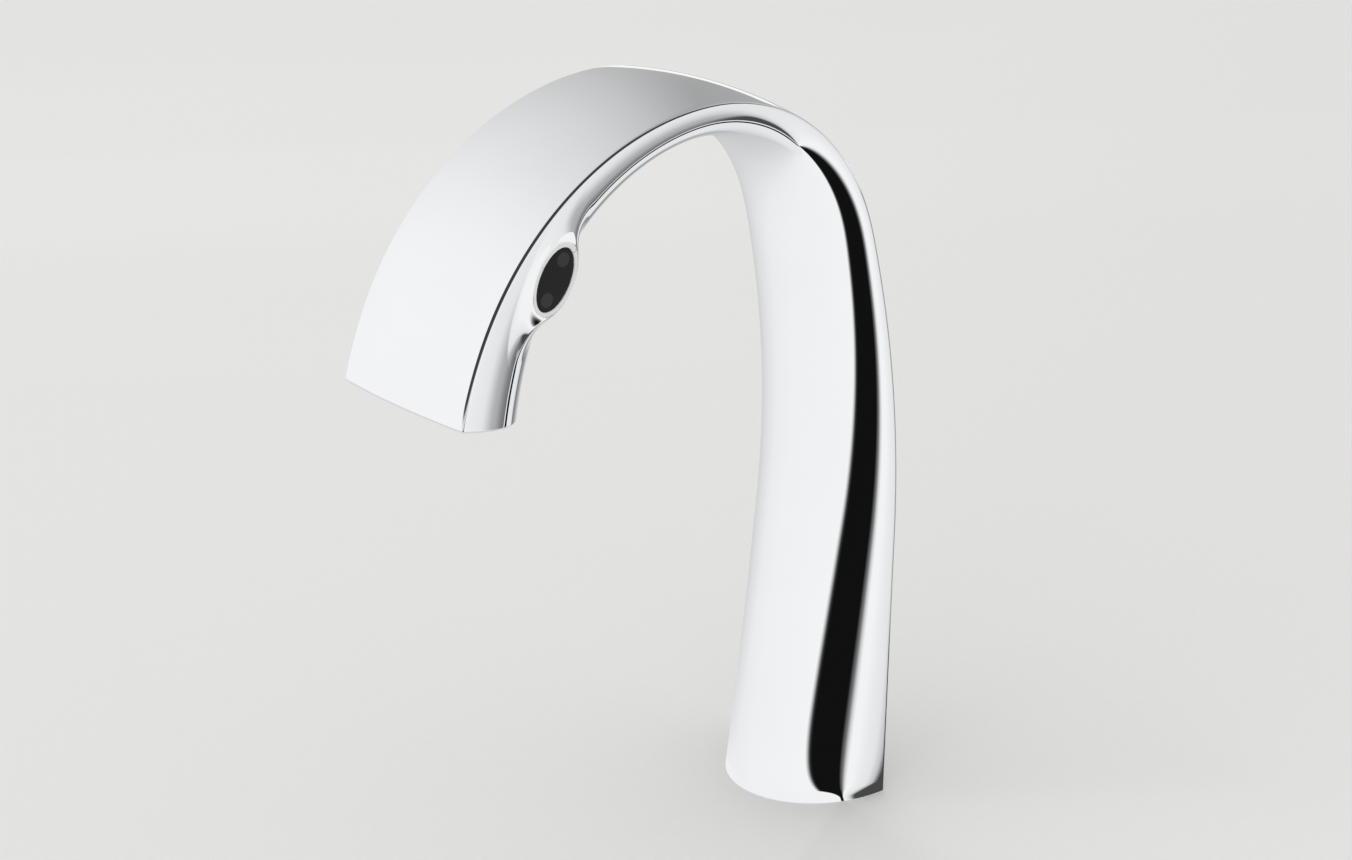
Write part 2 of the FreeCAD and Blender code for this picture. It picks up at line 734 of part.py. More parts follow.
# station and inset of the points that the tube and the lead share, from the leg to the crest
SHARED_ROUTE = [(60, 12.4), (100, 8.4), (135, 6.6), (165, 5.4), (188, 4.7), (208, 4.2),
                (229, 4.1), (250, 4.3)]
straight_end = (size["neck_run"] + 2) / (1 - ROUTE_SHARE)
socket_stop = size["socket_recess"] + size["thread_depth"] + size["socket_floor"]

shared_tube = [spot(station, inset) for station, inset in SHARED_ROUTE]
tube_points = (
    [world(size["base_axis"], -size["tail_drop"]), world(size["base_axis"], size["base_bend"])]
    + shared_tube
    + [spot(272, 5.0), spot(296, 6.6), spot(320, 7.6), spot(343, 8.3)]
    + [along_outlet(socket_stop + straight_end), along_outlet(socket_stop)])
tube_wire, tube_radii = rounded_route(tube_points)
tube = doc.addObject("Part::Feature", "water_tube")
tube.Shape = swept(tube_wire, size["tube_outer"] / 2).cut(
    swept(tube_wire, size["tube_bore"] / 2))
keep(tube, "water_tube")
expected = math.pi / 4 * (size["tube_outer"] ** 2 - size["tube_bore"] ** 2) * tube_wire.Length
print("water tube radii", tube_radii, "volume", tube.Shape.Volume / expected)

lead_side = size["lead_side"]
lead_points = (
    [world(size["base_axis"], size["plug_height"] - size["shank_drop"], lead_side),
     world(size["base_axis"], size["base_bend"], lead_side)]
    + [spot(station, inset, lead_side) for station, inset in SHARED_ROUTE]
    + [spot(274, 5.4, 8.6), spot(297, 7.2, 11.6)]
    + [lead_entry.multVec(V(0, 0, eye_long + size["lead_approach"])),
       lead_entry.multVec(V(0, 0, eye_long - size["lead_bite"]))])
lead_wire, lead_radii = rounded_route(lead_points)
lead = doc.addObject("Part::Feature", "sensor_lead")
lead.Shape = swept(lead_wire, size["lead_outer"] / 2)
keep(lead, "sensor_lead")
expected = math.pi / 4 * size["lead_outer"] ** 2 * lead_wire.Length
print("sensor lead radii", lead_radii, "length", lead_wire.Length,
      "volume", lead.Shape.Volume / expected)


def make_clip(low, high):
    """Moulded clip halfway along a shared run: a plate with a hole for tube and lead."""
    run = high - low
    middle = low + run * 0.5
    ahead = V(run).normalize()
    place = FreeCAD.Placement(middle - ahead * (size["clip_thick"] / 2),
                              Turn(V(1, 0, 0), V(), ahead, "ZXY"))
    gap = size["running_gap"]
    big = size["tube_outer"] / 2 + gap
    small = size["lead_outer"] / 2 + gap
    outer_big = big + size["clip_wall"]
    outer_small = small + size["clip_wall"]
    lean = math.asin((outer_big - outer_small) / lead_side)
    upper = V(math.sin(lean), math.cos(lean), 0)
    lower = V(math.sin(lean), -math.cos(lean), 0)
    side = V(lead_side, 0, 0)
    outline = Part.Wire([
        Part.LineSegment(upper * outer_big, side + upper * outer_small).toShape(),
        Part.Arc(side + upper * outer_small, side + V(outer_small, 0, 0),
                 side + lower * outer_small).toShape(),
        Part.LineSegment(side + lower * outer_small, lower * outer_big).toShape(),
        Part.Arc(lower * outer_big, V(-outer_big, 0, 0), upper * outer_big).toShape()])
    plate = Part.Face(outline).extrude(V(0, 0, size["clip_thick"]))
    for radius, centre in ((big, V()), (small, side)):
        plate = plate.cut(Part.makeCylinder(radius, size["clip_thick"], centre))
    plate.Placement = place
    return plate


clips = doc.addObject("Part::Feature", "tube_clips")
clips.Shape = Part.makeCompound([
    make_clip(shared_tube[i], shared_tube[i + 1]) for i in (0, 1)])
keep(clips, "tube_clips")


# ---- outlet ---------------------------------------------------------------------------------

collet_radius = "(tube_outer / 2 + collet_wall)"
stop = "(socket_recess + thread_depth + socket_floor)"
neck_top = f"({stop} + neck_run)"
collet_low = f"({stop} + neck_run / 3)"
turned("outlet_socket", [
    ("socket_thread / 2", "socket_recess"),
    ("socket_outer / 2", "socket_recess"),
    ("socket_outer / 2", stop),
    ("neck_outer / 2", stop),
    ("neck_outer / 2", neck_top),
    (collet_radius, neck_top),
    (collet_radius, collet_low),
    ("tube_outer / 2 + running_gap", collet_low),
    ("tube_outer / 2 + running_gap", stop),
    ("tube_bore / 2", stop),
    ("tube_bore / 2", "socket_recess + thread_depth"),
    ("socket_thread / 2", "socket_recess + thread_depth")], outlet_frame)

ring_high = f"({collet_low} + tube_seal)"
turned("tube_ring", tube_corners(
    "tube_outer / 2 + running_gap", f"{collet_radius} - running_gap",
    collet_low, ring_high), outlet_frame)
turned("tube_collet", [
    ("tube_outer / 2 + running_gap", ring_high),
    (f"{collet_radius} - running_gap", ring_high),
    (f"{collet_radius} - running_gap", neck_top),
    ("neck_outer / 2", neck_top),
    ("neck_outer / 2", f"{neck_top} + collet_lip"),
    ("tube_outer / 2 + running_gap", f"{neck_top} + collet_lip")], outlet_frame)

shell_low = "(socket_recess + seat_gap)"
shell_high = f"({shell_low} + shell_run)"
shell_out = "(socket_thread / 2 - running_gap)"
shell_in = f"({shell_out} - shell_wall)"
insert_out = f"({shell_in} - running_gap)"
insert_low = f"({shell_low} + lip_thick)"


def make_jet_shell():
    """Threaded shell with an inner lip and spanner notches in its outer edge."""
    body = turned("aerator_shell", [
        (f"{shell_in} - shell_lip", shell_low),
        (shell_out, shell_low),
        (shell_out, shell_high),
        (shell_in, shell_high),
        (shell_in, insert_low),
        (f"{shell_in} - shell_lip", insert_low)])
    doc.recompute()
    inner = f"{shell_in} + shell_wall / 4"
    outer = "socket_outer / 2"
    for turn in range(NOTCHES):
        place = FreeCAD.Placement(V(), Turn(V(0, 0, 1), 360 / NOTCHES * turn))
        notch = polygon_sketch(body, f"Notch{turn}", [
            (inner, "-notch_wide / 2"), (outer, "-notch_wide / 2"),
            (outer, "notch_wide / 2"), (inner, "notch_wide / 2")], "XY_Plane", place)
        pocket(body, f"notch{turn}", notch, "socket_recess + seat_gap + notch_deep", True)
    body.Placement = outlet_frame
    return body


make_jet_shell()

turned("aerator_seal", tube_corners(
    f"{shell_in} - shell_lip", shell_out, shell_high,
    "socket_recess + thread_depth"), outlet_frame)

grid_high = f"({insert_low} + grid_height)"
core_high = f"({grid_high} + core_height)"
regulator_high = f"({core_high} + regulator_height)"


def drilled_disc(name, low, high, rings):
    """Disc with rings of holes: count, pitch circle and hole diameter of each ring."""
    body = turned(name, [("0", low), (insert_out, low), (insert_out, high), ("0", high)])
    for number, (count, pitch, hole) in enumerate(rings):
        holes = []
        for i in range(count):
            angle = 2 * math.pi * i / count
            holes.append((f"{pitch} / 2 * {math.cos(angle):.6f}",
                          f"{pitch} / 2 * {math.sin(angle):.6f}", f"{hole} / 2",
                          (size[pitch] / 2 * math.cos(angle),
                           size[pitch] / 2 * math.sin(angle), size[hole] / 2)))
        sketch = circle_sketch(body, f"{name}_ring{number}", holes)
        pocket(body, f"{name}_holes{number}", sketch, high + " + 1", True)
    body.Placement = outlet_frame
    return body


drilled_disc("outlet_grid", insert_low, grid_high, [
    (GRID_HOLES[0], "grid_outer_ring", "grid_hole"),
    (GRID_HOLES[1], "grid_inner_ring", "grid_hole")])
drilled_disc("mixing_core", grid_high, core_high, [(CORE_HOLES, "core_ring", "core_hole")])
drilled_disc("flow_regulator", core_high, regulator_high, [
    (REGULATOR_HOLES, "regulator_ring", "regulator_hole")])

screen_under = f"{regulator_high} - screen_thick"
turned("inlet_screen", [
    (f"{insert_out} - screen_thick", regulator_high),
    (insert_out, regulator_high),
    (f"{insert_out} * 0.8", f"{regulator_high} + screen_rise * 0.65"),
    (f"{insert_out} * 0.45", f"{regulator_high} + screen_rise * 0.95"),
    ("0", f"{regulator_high} + screen_rise"),
    ("0", f"{screen_under} + screen_rise"),
    (f"{insert_out} * 0.43", f"{screen_under} + screen_rise * 0.95"),
    (f"{insert_out} * 0.76", f"{screen_under} + screen_rise * 0.65")], outlet_frame)


# ---- base plate and seal ------------------------------------------------------------------------

plate_top = size["seal_thick"] + size["plate_thick"]


def base_frame(station, height):
    """Level sketch plane at a height, at the corner line of a station of the leg."""
    forward = corner_line(station)[0]
    return FreeCAD.Placement(world(forward, height), section_frame(0).Rotation)


def base_holes(body, name, height, shank, screw, pin):
    """Holes for the shank, the two screws and the locating pin."""
    floor = FreeCAD.Placement(V(0, size["base_axis"], height), Turn())
    circles = [("0", "-base_axis", shank, (0, -14, 12)),
               ("-pin_side", "-base_axis", pin, (-18, -14, 2))]
    for sign in (1, -1):
        circles.append((f"{sign} * boss_side", "-boss_inset", screw, (20 * sign, -5, 2)))
    return circle_sketch(body, name, circles, place=floor)


def make_base_plate():
    """Plate inside the foot that carries the shank, screwed up into the casting."""
    body = body_named("base_plate")
    skin = size["wall"] + size["seat_gap"]
    outline = d_section(body, "Plate", plate_top, skin,
                        base_frame(plate_top, size["seal_thick"]))
    doc.recompute()
    pad(body, "plate_pad", outline, "plate_thick", True)
    doc.recompute()
    holes = base_holes(body, "PlateHoles", size["seal_thick"],
                       "shank_outer / 2 + running_gap", "screw_shank / 2 + seat_gap / 2",
                       "pin_collar / 2 + running_gap")
    pocket(body, "plate_holes", holes, "plate_thick", True)
    floor = FreeCAD.Placement(V(0, size["base_axis"], size["seal_thick"]), Turn())
    heads = circle_sketch(body, "PlateHeads", [
        (f"{sign} * boss_side", "-boss_inset", "screw_head / 2 + seat_gap / 2",
         (20 * sign, -5, 3)) for sign in (1, -1)], place=floor)
    pocket(body, "plate_heads", heads, "head_height", True)
    return keep(body, "base_plate")


make_base_plate()


def make_deck_seal():
    """Rubber sheet that fills the mouth of the foot, flush with its edge."""
    body = body_named("deck_seal")
    outline = d_section(body, "SealSheet", size["seal_thick"],
                        size["wall"] + size["seat_gap"],
                        base_frame(size["seal_thick"], 0))
    doc.recompute()
    pad(body, "sheet_pad", outline, "seal_thick", True)
    doc.recompute()
    holes = base_holes(body, "SheetHoles", 0, "shank_outer / 2 + seat_gap",
                       "screw_shank / 2", "pin_collar / 2 + seat_gap")
    pocket(body, "sheet_holes", holes, "seal_thick", True)
    return keep(body, "deck_seal")


make_deck_seal()


def cylinder(name, radius, length, place):
    piece = doc.addObject("Part::Cylinder", name)
    piece.setExpression("Radius", cell(radius))
    piece.setExpression("Height", cell(length))
    piece.Placement = place
    return piece


def make_base_screws():
    """Two pan-head screws, from below through the plate into the bosses."""
    screws = []
    for side in (-size["boss_side"], size["boss_side"]):
        foot = world(size["boss_inset"], size["seal_thick"], side)
        head = cylinder("screw_head_part", "screw_head / 2", "head_height - running_gap",
                        FreeCAD.Placement(foot, Turn()))
        stem = cylinder("screw_stem_part", "screw_shank / 2", "plate_thick + screw_grip",
                        FreeCAD.Placement(foot, Turn()))
        screw = doc.addObject("Part::Fuse", "screw")
        screw.Base = head
        screw.Tool = stem
        screws.append(screw)
    group = doc.addObject("Part::Compound", "base_screws")
    group.Links = screws
    doc.recompute()
    return keep(group, "base_screws")


make_base_screws()

# locating pin: its collar sits in the base plate, its end stands out below the deck plane
turned("locating_pin", [
    ("0", "-pin_drop"), ("pin_outer / 2", "-pin_drop"), ("pin_outer / 2", "0"),
    ("pin_collar / 2", "0"), ("pin_collar / 2", "seal_thick + plate_thick"),
    ("0", "seal_thick + plate_thick")],
    FreeCAD.Placement(V(-size["pin_side"], 0, 0), Turn()))


# ---- shank, clamp and water inlet --------------------------------------------------------------

turned("mounting_shank", tube_corners(
    "shank_bore / 2", "shank_outer / 2", "-shank_drop", "seal_thick + plate_thick"))

clamp_high = "(-deck_thick)"
rubber_low = "(-deck_thick - rubber_thick)"
steel_low = "(-deck_thick - rubber_thick - steel_thick)"
loose_bore = "(shank_outer / 2 + seat_gap)"
turned("clamp_rubber", tube_corners(loose_bore, "clamp_outer / 2", rubber_low, clamp_high))
turned("clamp_washer", tube_corners(loose_bore, "clamp_outer / 2", steel_low, rubber_low))


def hexagon(flats):
    corner = f"{flats} / sqrt(3)"
    half = f"{flats} / 2"
    part = f"{flats} / (2 * sqrt(3))"
    return [("0", "-" + corner), (half, "-" + part), (half, part), ("0", corner),
            ("-" + half, part), ("-" + half, "-" + part)]


def bevel_hexagon(body, name, flats, level, way):
    """Turned bevel on the corners of a hexagon, at a level, cut towards +Z or -Z."""
    corner = f"({flats} / sqrt(3) + 1)"
    outline = polygon_sketch(body, name, [
        (f"{flats} / 2 - hex_bevel / 4", level), (corner, level),
        (corner, f"{level} {way} hex_bevel * 1.6")])
    doc.recompute()
    before = body.Shape.Volume
    groove = body.newObject("PartDesign::Groove", name + "_cut")
    groove.Profile = outline
    groove.ReferenceAxis = (outline, ["V_Axis"])
    groove.Angle = 360
    doc.recompute()
    if groove.Shape.Volume >= before:
        raise RuntimeError(f"{name} cuts nothing")


def make_nut():
    """Hexagon nut on the shank, under the washers, with bevelled corners."""
    body = body_named("mounting_nut")
    outline = polygon_sketch(body, "NutOutline", hexagon("nut_flats"), "XY_Plane")
    doc.recompute()
    pad(body, "nut_pad", outline, "nut_height")
    doc.recompute()
    bevel_hexagon(body, "NutLowBevel", "nut_flats", "0", "+")
    bevel_hexagon(body, "NutHighBevel", "nut_flats", "nut_height", "-")
    bore = circle_sketch(body, "NutBore", [
        ("0", "0", "shank_outer / 2 + running_gap", (0, 0, 12))])
    pocket(body, "nut_bore", bore, "nut_height", True)
    clamp_low = size["deck_thick"] + size["rubber_thick"] + size["steel_thick"]
    low = V(0, 0, -clamp_low - size["nut_height"])
    return keep(body, "mounting_nut", FreeCAD.Placement(low, Turn()))


make_nut()


def make_shank_plug():
    """Plug in the lower end of the shank that holds the tube and the lead socket."""
    body = body_named("shank_plug")
    low = FreeCAD.Placement(V(0, 0, -size["shank_drop"]), Turn())
    outline = circle_sketch(body, "PlugOutline", [
        ("0", "0", "shank_bore / 2 - running_gap", (0, 0, 9)),
        ("0", "0", "tube_outer / 2 + running_gap", (0, 0, 4)),
        ("lead_side", "0", "socket_body / 2 + running_gap", (7, 0, 2))], place=low)
    doc.recompute()
    pad(body, "plug_pad", outline, "plug_height")
    doc.recompute()
    return keep(body, "shank_plug")


make_shank_plug()

turned("lead_socket", [
    ("socket_body / 2 - socket_wall", "0"),
    ("socket_body / 2", "0"),
    ("socket_body / 2", "plug_height"),
    ("0", "plug_height"),
    ("0", "pin_well"),
    ("socket_body / 2 - socket_wall", "pin_well")],
    FreeCAD.Placement(V(size["lead_side"], 0, -size["shank_drop"]), Turn()))


def make_inlet_nipple():
    """Nipple on the lower end of the tube: sleeve, hexagon and thread for the supply."""
    body = body_named("inlet_nipple")
    sketch = polygon_sketch(body, "NippleOutline", [
        ("tube_bore / 2", "-hex_height - inlet_run"),
        ("inlet_thread / 2", "-hex_height - inlet_run"),
        ("inlet_thread / 2", "-hex_height"),
        ("tube_outer / 2 + sleeve_wall", "-hex_height"),
        ("tube_outer / 2 + sleeve_wall", "tail_drop - shank_drop - seat_gap"),
        ("tube_outer / 2 + running_gap", "tail_drop - shank_drop - seat_gap"),
        ("tube_outer / 2 + running_gap", "0"),
        ("tube_bore / 2", "0")])
    turn = body.newObject("PartDesign::Revolution", "nipple_turn")
    turn.Profile = sketch
    turn.ReferenceAxis = (sketch, ["V_Axis"])
    turn.Angle = 360
    doc.recompute()
    low = FreeCAD.Placement(V(0, 0, -size["hex_height"]), Turn())
    outline = polygon_sketch(body, "NippleHex", hexagon("hex_flats"), "XY_Plane", low)
    bore = outline.addGeometry(Part.Circle(V(0, 0, 0), V(0, 0, 1), size["tube_bore"] / 2))
    outline.addConstraint(Sketcher.Constraint("Coincident", bore, 3, -1, 1))
    index = outline.addConstraint(
        Sketcher.Constraint("Radius", bore, size["tube_bore"] / 2))
    outline.setExpression(f"Constraints[{index}]", cell("tube_bore / 2"))
    doc.recompute()
    pad(body, "nipple_hex", outline, "hex_height")
    doc.recompute()
    bevel_hexagon(body, "NippleBevel", "hex_flats", "-hex_height", "+")
    return keep(body, "inlet_nipple", FreeCAD.Placement(V(0, 0, -size["tail_drop"]), Turn()))


make_inlet_nipple()


# ---- checks and export ----------------------------------------------------------------------

doc.recompute()
for thing in doc.Objects:
    if "Invalid" in thing.State or "Error" in thing.State:
        raise RuntimeError(f"{thing.Label} didn't compute: {thing.State}")

os.makedirs("parts", exist_ok=True)
for piece in pieces:
    shape = piece.Shape
    if shape.isNull() or not shape.isValid() or shape.Volume <= 0:
        raise RuntimeError(f"{piece.Label} has no sound shape")
    shape.exportStep(f"parts/{piece.Label}.step")
    print(piece.Label, len(shape.Solids), round(shape.Volume, 1))
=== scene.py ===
import functools
import json
import math

import bmesh
import bpy
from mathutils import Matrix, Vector


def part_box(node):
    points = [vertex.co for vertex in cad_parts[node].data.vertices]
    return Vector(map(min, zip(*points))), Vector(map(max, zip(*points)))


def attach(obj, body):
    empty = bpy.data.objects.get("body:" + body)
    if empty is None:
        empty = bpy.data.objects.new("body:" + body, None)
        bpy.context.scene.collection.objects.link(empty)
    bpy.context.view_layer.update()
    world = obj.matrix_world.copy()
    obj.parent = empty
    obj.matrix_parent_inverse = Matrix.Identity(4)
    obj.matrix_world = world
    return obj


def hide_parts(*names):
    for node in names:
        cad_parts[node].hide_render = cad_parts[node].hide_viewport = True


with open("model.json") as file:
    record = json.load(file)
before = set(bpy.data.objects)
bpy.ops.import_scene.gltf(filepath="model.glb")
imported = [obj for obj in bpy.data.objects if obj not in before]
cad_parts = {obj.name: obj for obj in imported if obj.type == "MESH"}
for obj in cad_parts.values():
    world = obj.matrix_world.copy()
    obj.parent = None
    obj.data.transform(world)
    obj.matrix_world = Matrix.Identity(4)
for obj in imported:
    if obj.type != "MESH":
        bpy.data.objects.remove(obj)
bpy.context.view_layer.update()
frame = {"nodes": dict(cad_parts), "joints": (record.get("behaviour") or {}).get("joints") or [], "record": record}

bl_info = {
    "name": "Sensor tap",
    "version": (1, 0, 0),
    "blender": (4, 5, 0),
    "location": "3D View > Sidebar > Tap",
    "description": "Dresses the packed sensor tap: polished casting, sensor eye, outlet and clamp",
    "category": "Object",
}

MM = 0.001
# sheets whose edges lie closer than this are one
WELD = 1e-6

# Math nodes, as add_node reads them
ADD = "ShaderNodeMath:ADD"
SUBTRACT = "ShaderNodeMath:SUBTRACT"
MULTIPLY = "ShaderNodeMath:MULTIPLY"
DIVIDE = "ShaderNodeMath:DIVIDE"
MULTIPLY_ADD = "ShaderNodeMath:MULTIPLY_ADD"
POWER = "ShaderNodeMath:POWER"
SQRT = "ShaderNodeMath:SQRT"
SINE = "ShaderNodeMath:SINE"
COSINE = "ShaderNodeMath:COSINE"
ARCSINE = "ShaderNodeMath:ARCSINE"
MINIMUM = "ShaderNodeMath:MINIMUM"
MAXIMUM = "ShaderNodeMath:MAXIMUM"
ABSOLUTE = "ShaderNodeMath:ABSOLUTE"
GREATER_THAN = "ShaderNodeMath:GREATER_THAN"

# sockets of a Mix node go by number, because their names repeat for each kind of value
VALUE_A, VALUE_B = 2, 3
COLOUR_A, COLOUR_B, COLOUR_OUT = 6, 7, 2


# ---- finishes --------------------------------------------

CELLS = "ShaderNodeTexVoronoi"
NOISE = "ShaderNodeTexNoise"

# of each finish: its material, darker and lighter tone, grain in millimetres and settings
FINISHES = {
    # chrome plate over buffed brass: a mirror, a little softer where it has been wiped
    "polished_chrome": ("chrome_plated_brass", "#EFF1F3", "#F3F5F6", 26.0, {
        "metallic": 1.0, "rough": (0.012, 0.03)}),
    # infrared-passing acrylic, moulded: nearly black, with the two lenses faint behind it
    "sensor_window_plastic": ("infrared_acrylic", "#0C0C0D", "#0E0E0F", 9.0, {
        "rough": (0.06, 0.1)}),
    # moulded ABS: satin black with the fine spark texture of its mould
    "black_moulding": ("moulded_abs_black", "#1C1C1E", "#242426", 0.35, {
        "rough": (0.42, 0.58), "relief": 0.012}),
    # solder resist over glass laminate: glossy green with the copper pattern under it
    "circuit_board": ("solder_resist_green", "#0E4A28", "#1B6B3A", 1.6, {
        "rough": (0.22, 0.34), "relief": 0.02, "pattern": CELLS}),
    # cast epoxy: dark, wet gloss with slow sink marks
    "potting_resin": ("cast_epoxy", "#232325", "#2B2B2D", 3.0, {
        "rough": (0.1, 0.2), "relief": 0.05}),
    # smoke-tinted polycarbonate, moulded: a polished dark lens
    "lens_plastic": ("smoked_polycarbonate", "#2A2530", "#353039", 2.0, {
        "rough": (0.05, 0.09), "coat": 0.5}),
    # closed-cell foam: small bubbles, no gloss
    "foam": ("closed_cell_foam", "#202020", "#343434", 0.4, {
        "rough": (0.85, 0.95), "relief": 0.08, "pattern": CELLS}),
    # moulded EPDM: dull black with a trace of talc
    "seal_rubber": ("moulded_epdm", "#1B1B1B", "#2B2B2A", 1.2, {
        "rough": (0.62, 0.8), "relief": 0.01}),
    # extruded polyethylene: milky, with faint draw lines along it
    "tube_plastic": ("extruded_polyethylene", "#DCDEDA", "#E8EAE6", 0.6, {
        "rough": (0.3, 0.42), "relief": 0.006, "stretch": (1, 1, 40)}),
    # extruded PVC: satin black jacket
    "lead_jacket": ("extruded_pvc_black", "#232325", "#2D2D2F", 0.5, {
        "rough": (0.4, 0.55), "relief": 0.008}),
    # moulded natural acetal: slightly yellow and waxy
    "natural_plastic": ("moulded_acetal", "#DAD9CF", "#E6E5DC", 2.5, {
        "rough": (0.28, 0.4), "relief": 0.006}),
    # turned brass: fine tool rings round the axis, lightly tarnished
    "brass": ("turned_brass", "#B98F4A", "#D8B36A", 0.5, {
        "metallic": 1.0, "rough": (0.18, 0.34), "relief": 0.008, "stretch": (60, 60, 1)}),
    # turned stainless steel: finer rings, cool grey
    "stainless": ("turned_stainless", "#A9ABAC", "#C9CBCC", 0.3, {
        "metallic": 1.0, "rough": (0.2, 0.34), "relief": 0.005, "stretch": (40, 40, 1)}),
    # pressed steel, zinc plated: cool grey with faint cloudy patches
    "zinc_plated": ("zinc_plated_steel", "#B4B8BC", "#D0D4D6", 5.0, {
        "metallic": 1.0, "rough": (0.3, 0.46), "relief": 0.004}),
    # moulded polypropylene: even satin grey
    "grey_moulding": ("moulded_polypropylene_grey", "#86898B", "#94979A", 0.5, {
        "rough": (0.4, 0.52), "relief": 0.008}),
    # matt emulsion paint: pale and even, with a trace of roller texture
    "floor": ("matt_emulsion", "#E9E9E7", "#EDEDEB", 2.5, {
        "rough": (0.85, 0.95), "relief": 0.02}),
}
TONES = ("darker", "lighter")


# ---- sizes and colours that a user may change ------------

def linear(code):
    """sRGB hex colour as linear RGB."""
    channels = [int(code[i:i + 2], 16) / 255 for i in (1, 3, 5)]
    return [c / 12.92 if c <= 0.04045 else ((c + 0.055) / 1.055) ** 2.4 for c in channels]


def length(name, value, description):
    """A length in millimetres as a property in metres."""
    return bpy.props.FloatProperty(
        name=name, description=description, default=value * MM, unit="LENGTH", precision=5)


def angle_of(name, degrees, description):
    """An angle in degrees as a rotation property."""
    return bpy.props.FloatProperty(
        name=name, description=description, default=math.radians(degrees), unit="ROTATION")


def count(name, value, description):
    """A whole number of rows or columns as a property."""
    return bpy.props.IntProperty(name=name, description=description, default=value, min=2)


def ratio(name, value, description):
    """A plain number as a property."""
    return bpy.props.FloatProperty(name=name, description=description, default=value)


def colour(name, code, description):
    """An sRGB hex colour as a colour property."""
    return bpy.props.FloatVectorProperty(
        name=name, description=description, default=linear(code), subtype="COLOR", size=3,
        min=0.0, max=1.0)


class SpoutSizes(bpy.types.PropertyGroup):
    """Path and section of the cast spout, as in the solid model."""
    base_axis: length("Shank axis", 14.6, "Shank axis inside the outer face of the base")
    leg_lean: angle_of("Leg lean", -2.1, "Lean of the straight leg from upright")
    leg_run: length("Leg", 89.3, "Length of the straight leg")
    shoulder_radius: length("Shoulder radius", 329.0, "Outer radius where the leg bends")
    shoulder_heading: angle_of("Shoulder end", 15.8, "Heading at the end of that bend")
    crest_radius: length("Crest radius", 67.4, "Outer radius over the top of the arch")
    crest_heading: angle_of("Crest end", 92.0, "Heading past the top")
    brow_radius: length("Brow radius", 91.6, "Outer radius of the front of the arch")
    brow_heading: angle_of("Brow end", 152.7, "Heading at the end of the front")
    nose_radius: length("Nose radius", 116.5, "Outer radius of the last stretch")
    nose_heading: angle_of("Outlet heading", 166.0, "Heading of the outlet")
    base_width: length("Base width", 57.8, "Width across the deck end")
    waist_width: length("Least width", 52.6, "Least width")
    tip_width: length("Tip width", 54.7, "Width across the outlet end")
    narrowest_at: length("Narrowest at", 290.0, "Station of the least width")
    base_depth: length("Base depth", 33.4, "Depth behind the corner line at the deck")
    waist_depth: length("Least depth", 12.5, "Least depth, before the top of the arch")
    nose_depth: length("Nose depth", 35.6, "Depth that the end swells towards")
    waist_at: length("Thinnest at", 228.0, "Station of the least depth")
    swell_run: length("Swell run", 200.0, "Run over which the end swells")
    leg_taper: ratio("Leg taper", 1.7, "Power of the taper of the leg")
    width_taper: ratio("Width taper", 1.5, "Power of the taper of the width")
    crown: length("Crown", 2.4, "Rise of the outer face over its corners")
    wall: length("Wall", 2.4, "Wall of the casting")
    corner_round: length("Corner rounding", 0.9, "Rounding of the two long corners")
    end_round: length("End rounding", 0.6, "Rounding of the edge round the outlet end")
    foot_run: length("Foot run", 22.0, "Run over which the sections turn level to the deck")
    plate_top: length("Cavity", 9.5, "Depth of the open foot below the base plate")
    outlet_bore: length("Outlet bore", 13.45, "Radius of the bore of the outlet")
    outlet_deep: length("Outlet depth", 14.0, "Depth of the bore of the outlet")
    stations: count("Stations", 440, "Rows of the mesh along the spout")
    face_steps: count("Face steps", 34, "Columns of the mesh across the outer face")
    flank_steps: count("Flank steps", 140, "Columns of the mesh round the sides")
    corner_steps: count("Corner steps", 9, "Columns of the mesh round a corner")


class EyeSizes(bpy.types.PropertyGroup):
    """Oval eye of the sensor on the side of the spout."""
    place: bpy.props.FloatVectorProperty(
        name="Place", description="Middle of the window in the frame", size=3,
        default=tuple((a + b) / 2 for a, b in zip(*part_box("sensor_window"))), unit="LENGTH")
    heading: angle_of("Eye heading", 150.4, "Heading of the long axis")
    side: length("Side", 27.0, "Land round the eye from the middle plane")
    long_half: length("Long half", 9.5, "Half of the long axis of the window")
    short_half: length("Short half", 5.6, "Half of the short axis of the window")
    land: length("Land", 1.1, "Flat land round the window")
    land_round: length("Land rounding", 0.35, "Rounding of the edge towards the window")
    pocket: length("Pocket", 2.1, "Depth of the recess that holds the window")
    sweep_along: length("Sweep along", 17.0, "How far the boss sweeps out along the spout")
    sweep_across: length("Sweep across", 3.2, "How far the boss sweeps out across the spout")
    window_round: length("Window rounding", 0.2, "Rounding of the edge of the window")
    dome: length("Dome", 0.12, "Rise of the window over its edge")
    lens_spread: length("Lens spread", 12.0, "Distance between the two lenses")
    lens_shown: length("Lens", 2.1, "Radius of a lens as seen through the window")
    lens_tone: colour("Lens tone", "#303032", "The lenses as seen through the window")
    window_steps: count("Window steps", 144, "Columns of the mesh round the window")


class ThreadSizes(bpy.types.PropertyGroup):
    """Thread of the shank below the deck."""
    radius: length("Radius", 12.0, "Outer radius of the thread")
    bore: length("Bore", 9.5, "Radius of the bore")
    pitch: length("Pitch", 1.5, "Pitch of the thread")
    depth: length("Depth", 0.85, "Depth of the thread")
    runout: length("Run-out", 1.2, "Run over which the thread fades at its ends")
    rows: count("Rows", 416, "Rows of the mesh along the shank")
    columns: count("Columns", 60, "Columns of the mesh round the shank")


class FinishColours(bpy.types.PropertyGroup):
    """Two tones of each finish, between which its pattern varies."""
    __annotations__ = {
        f"{slot}_{which}": colour(
            f"{slot}, {which}".replace("_", " ").capitalize(), code, f"The {which} tone")
        for slot, (_, *codes, _, _) in FINISHES.items() for which, code in zip(TONES, codes)}


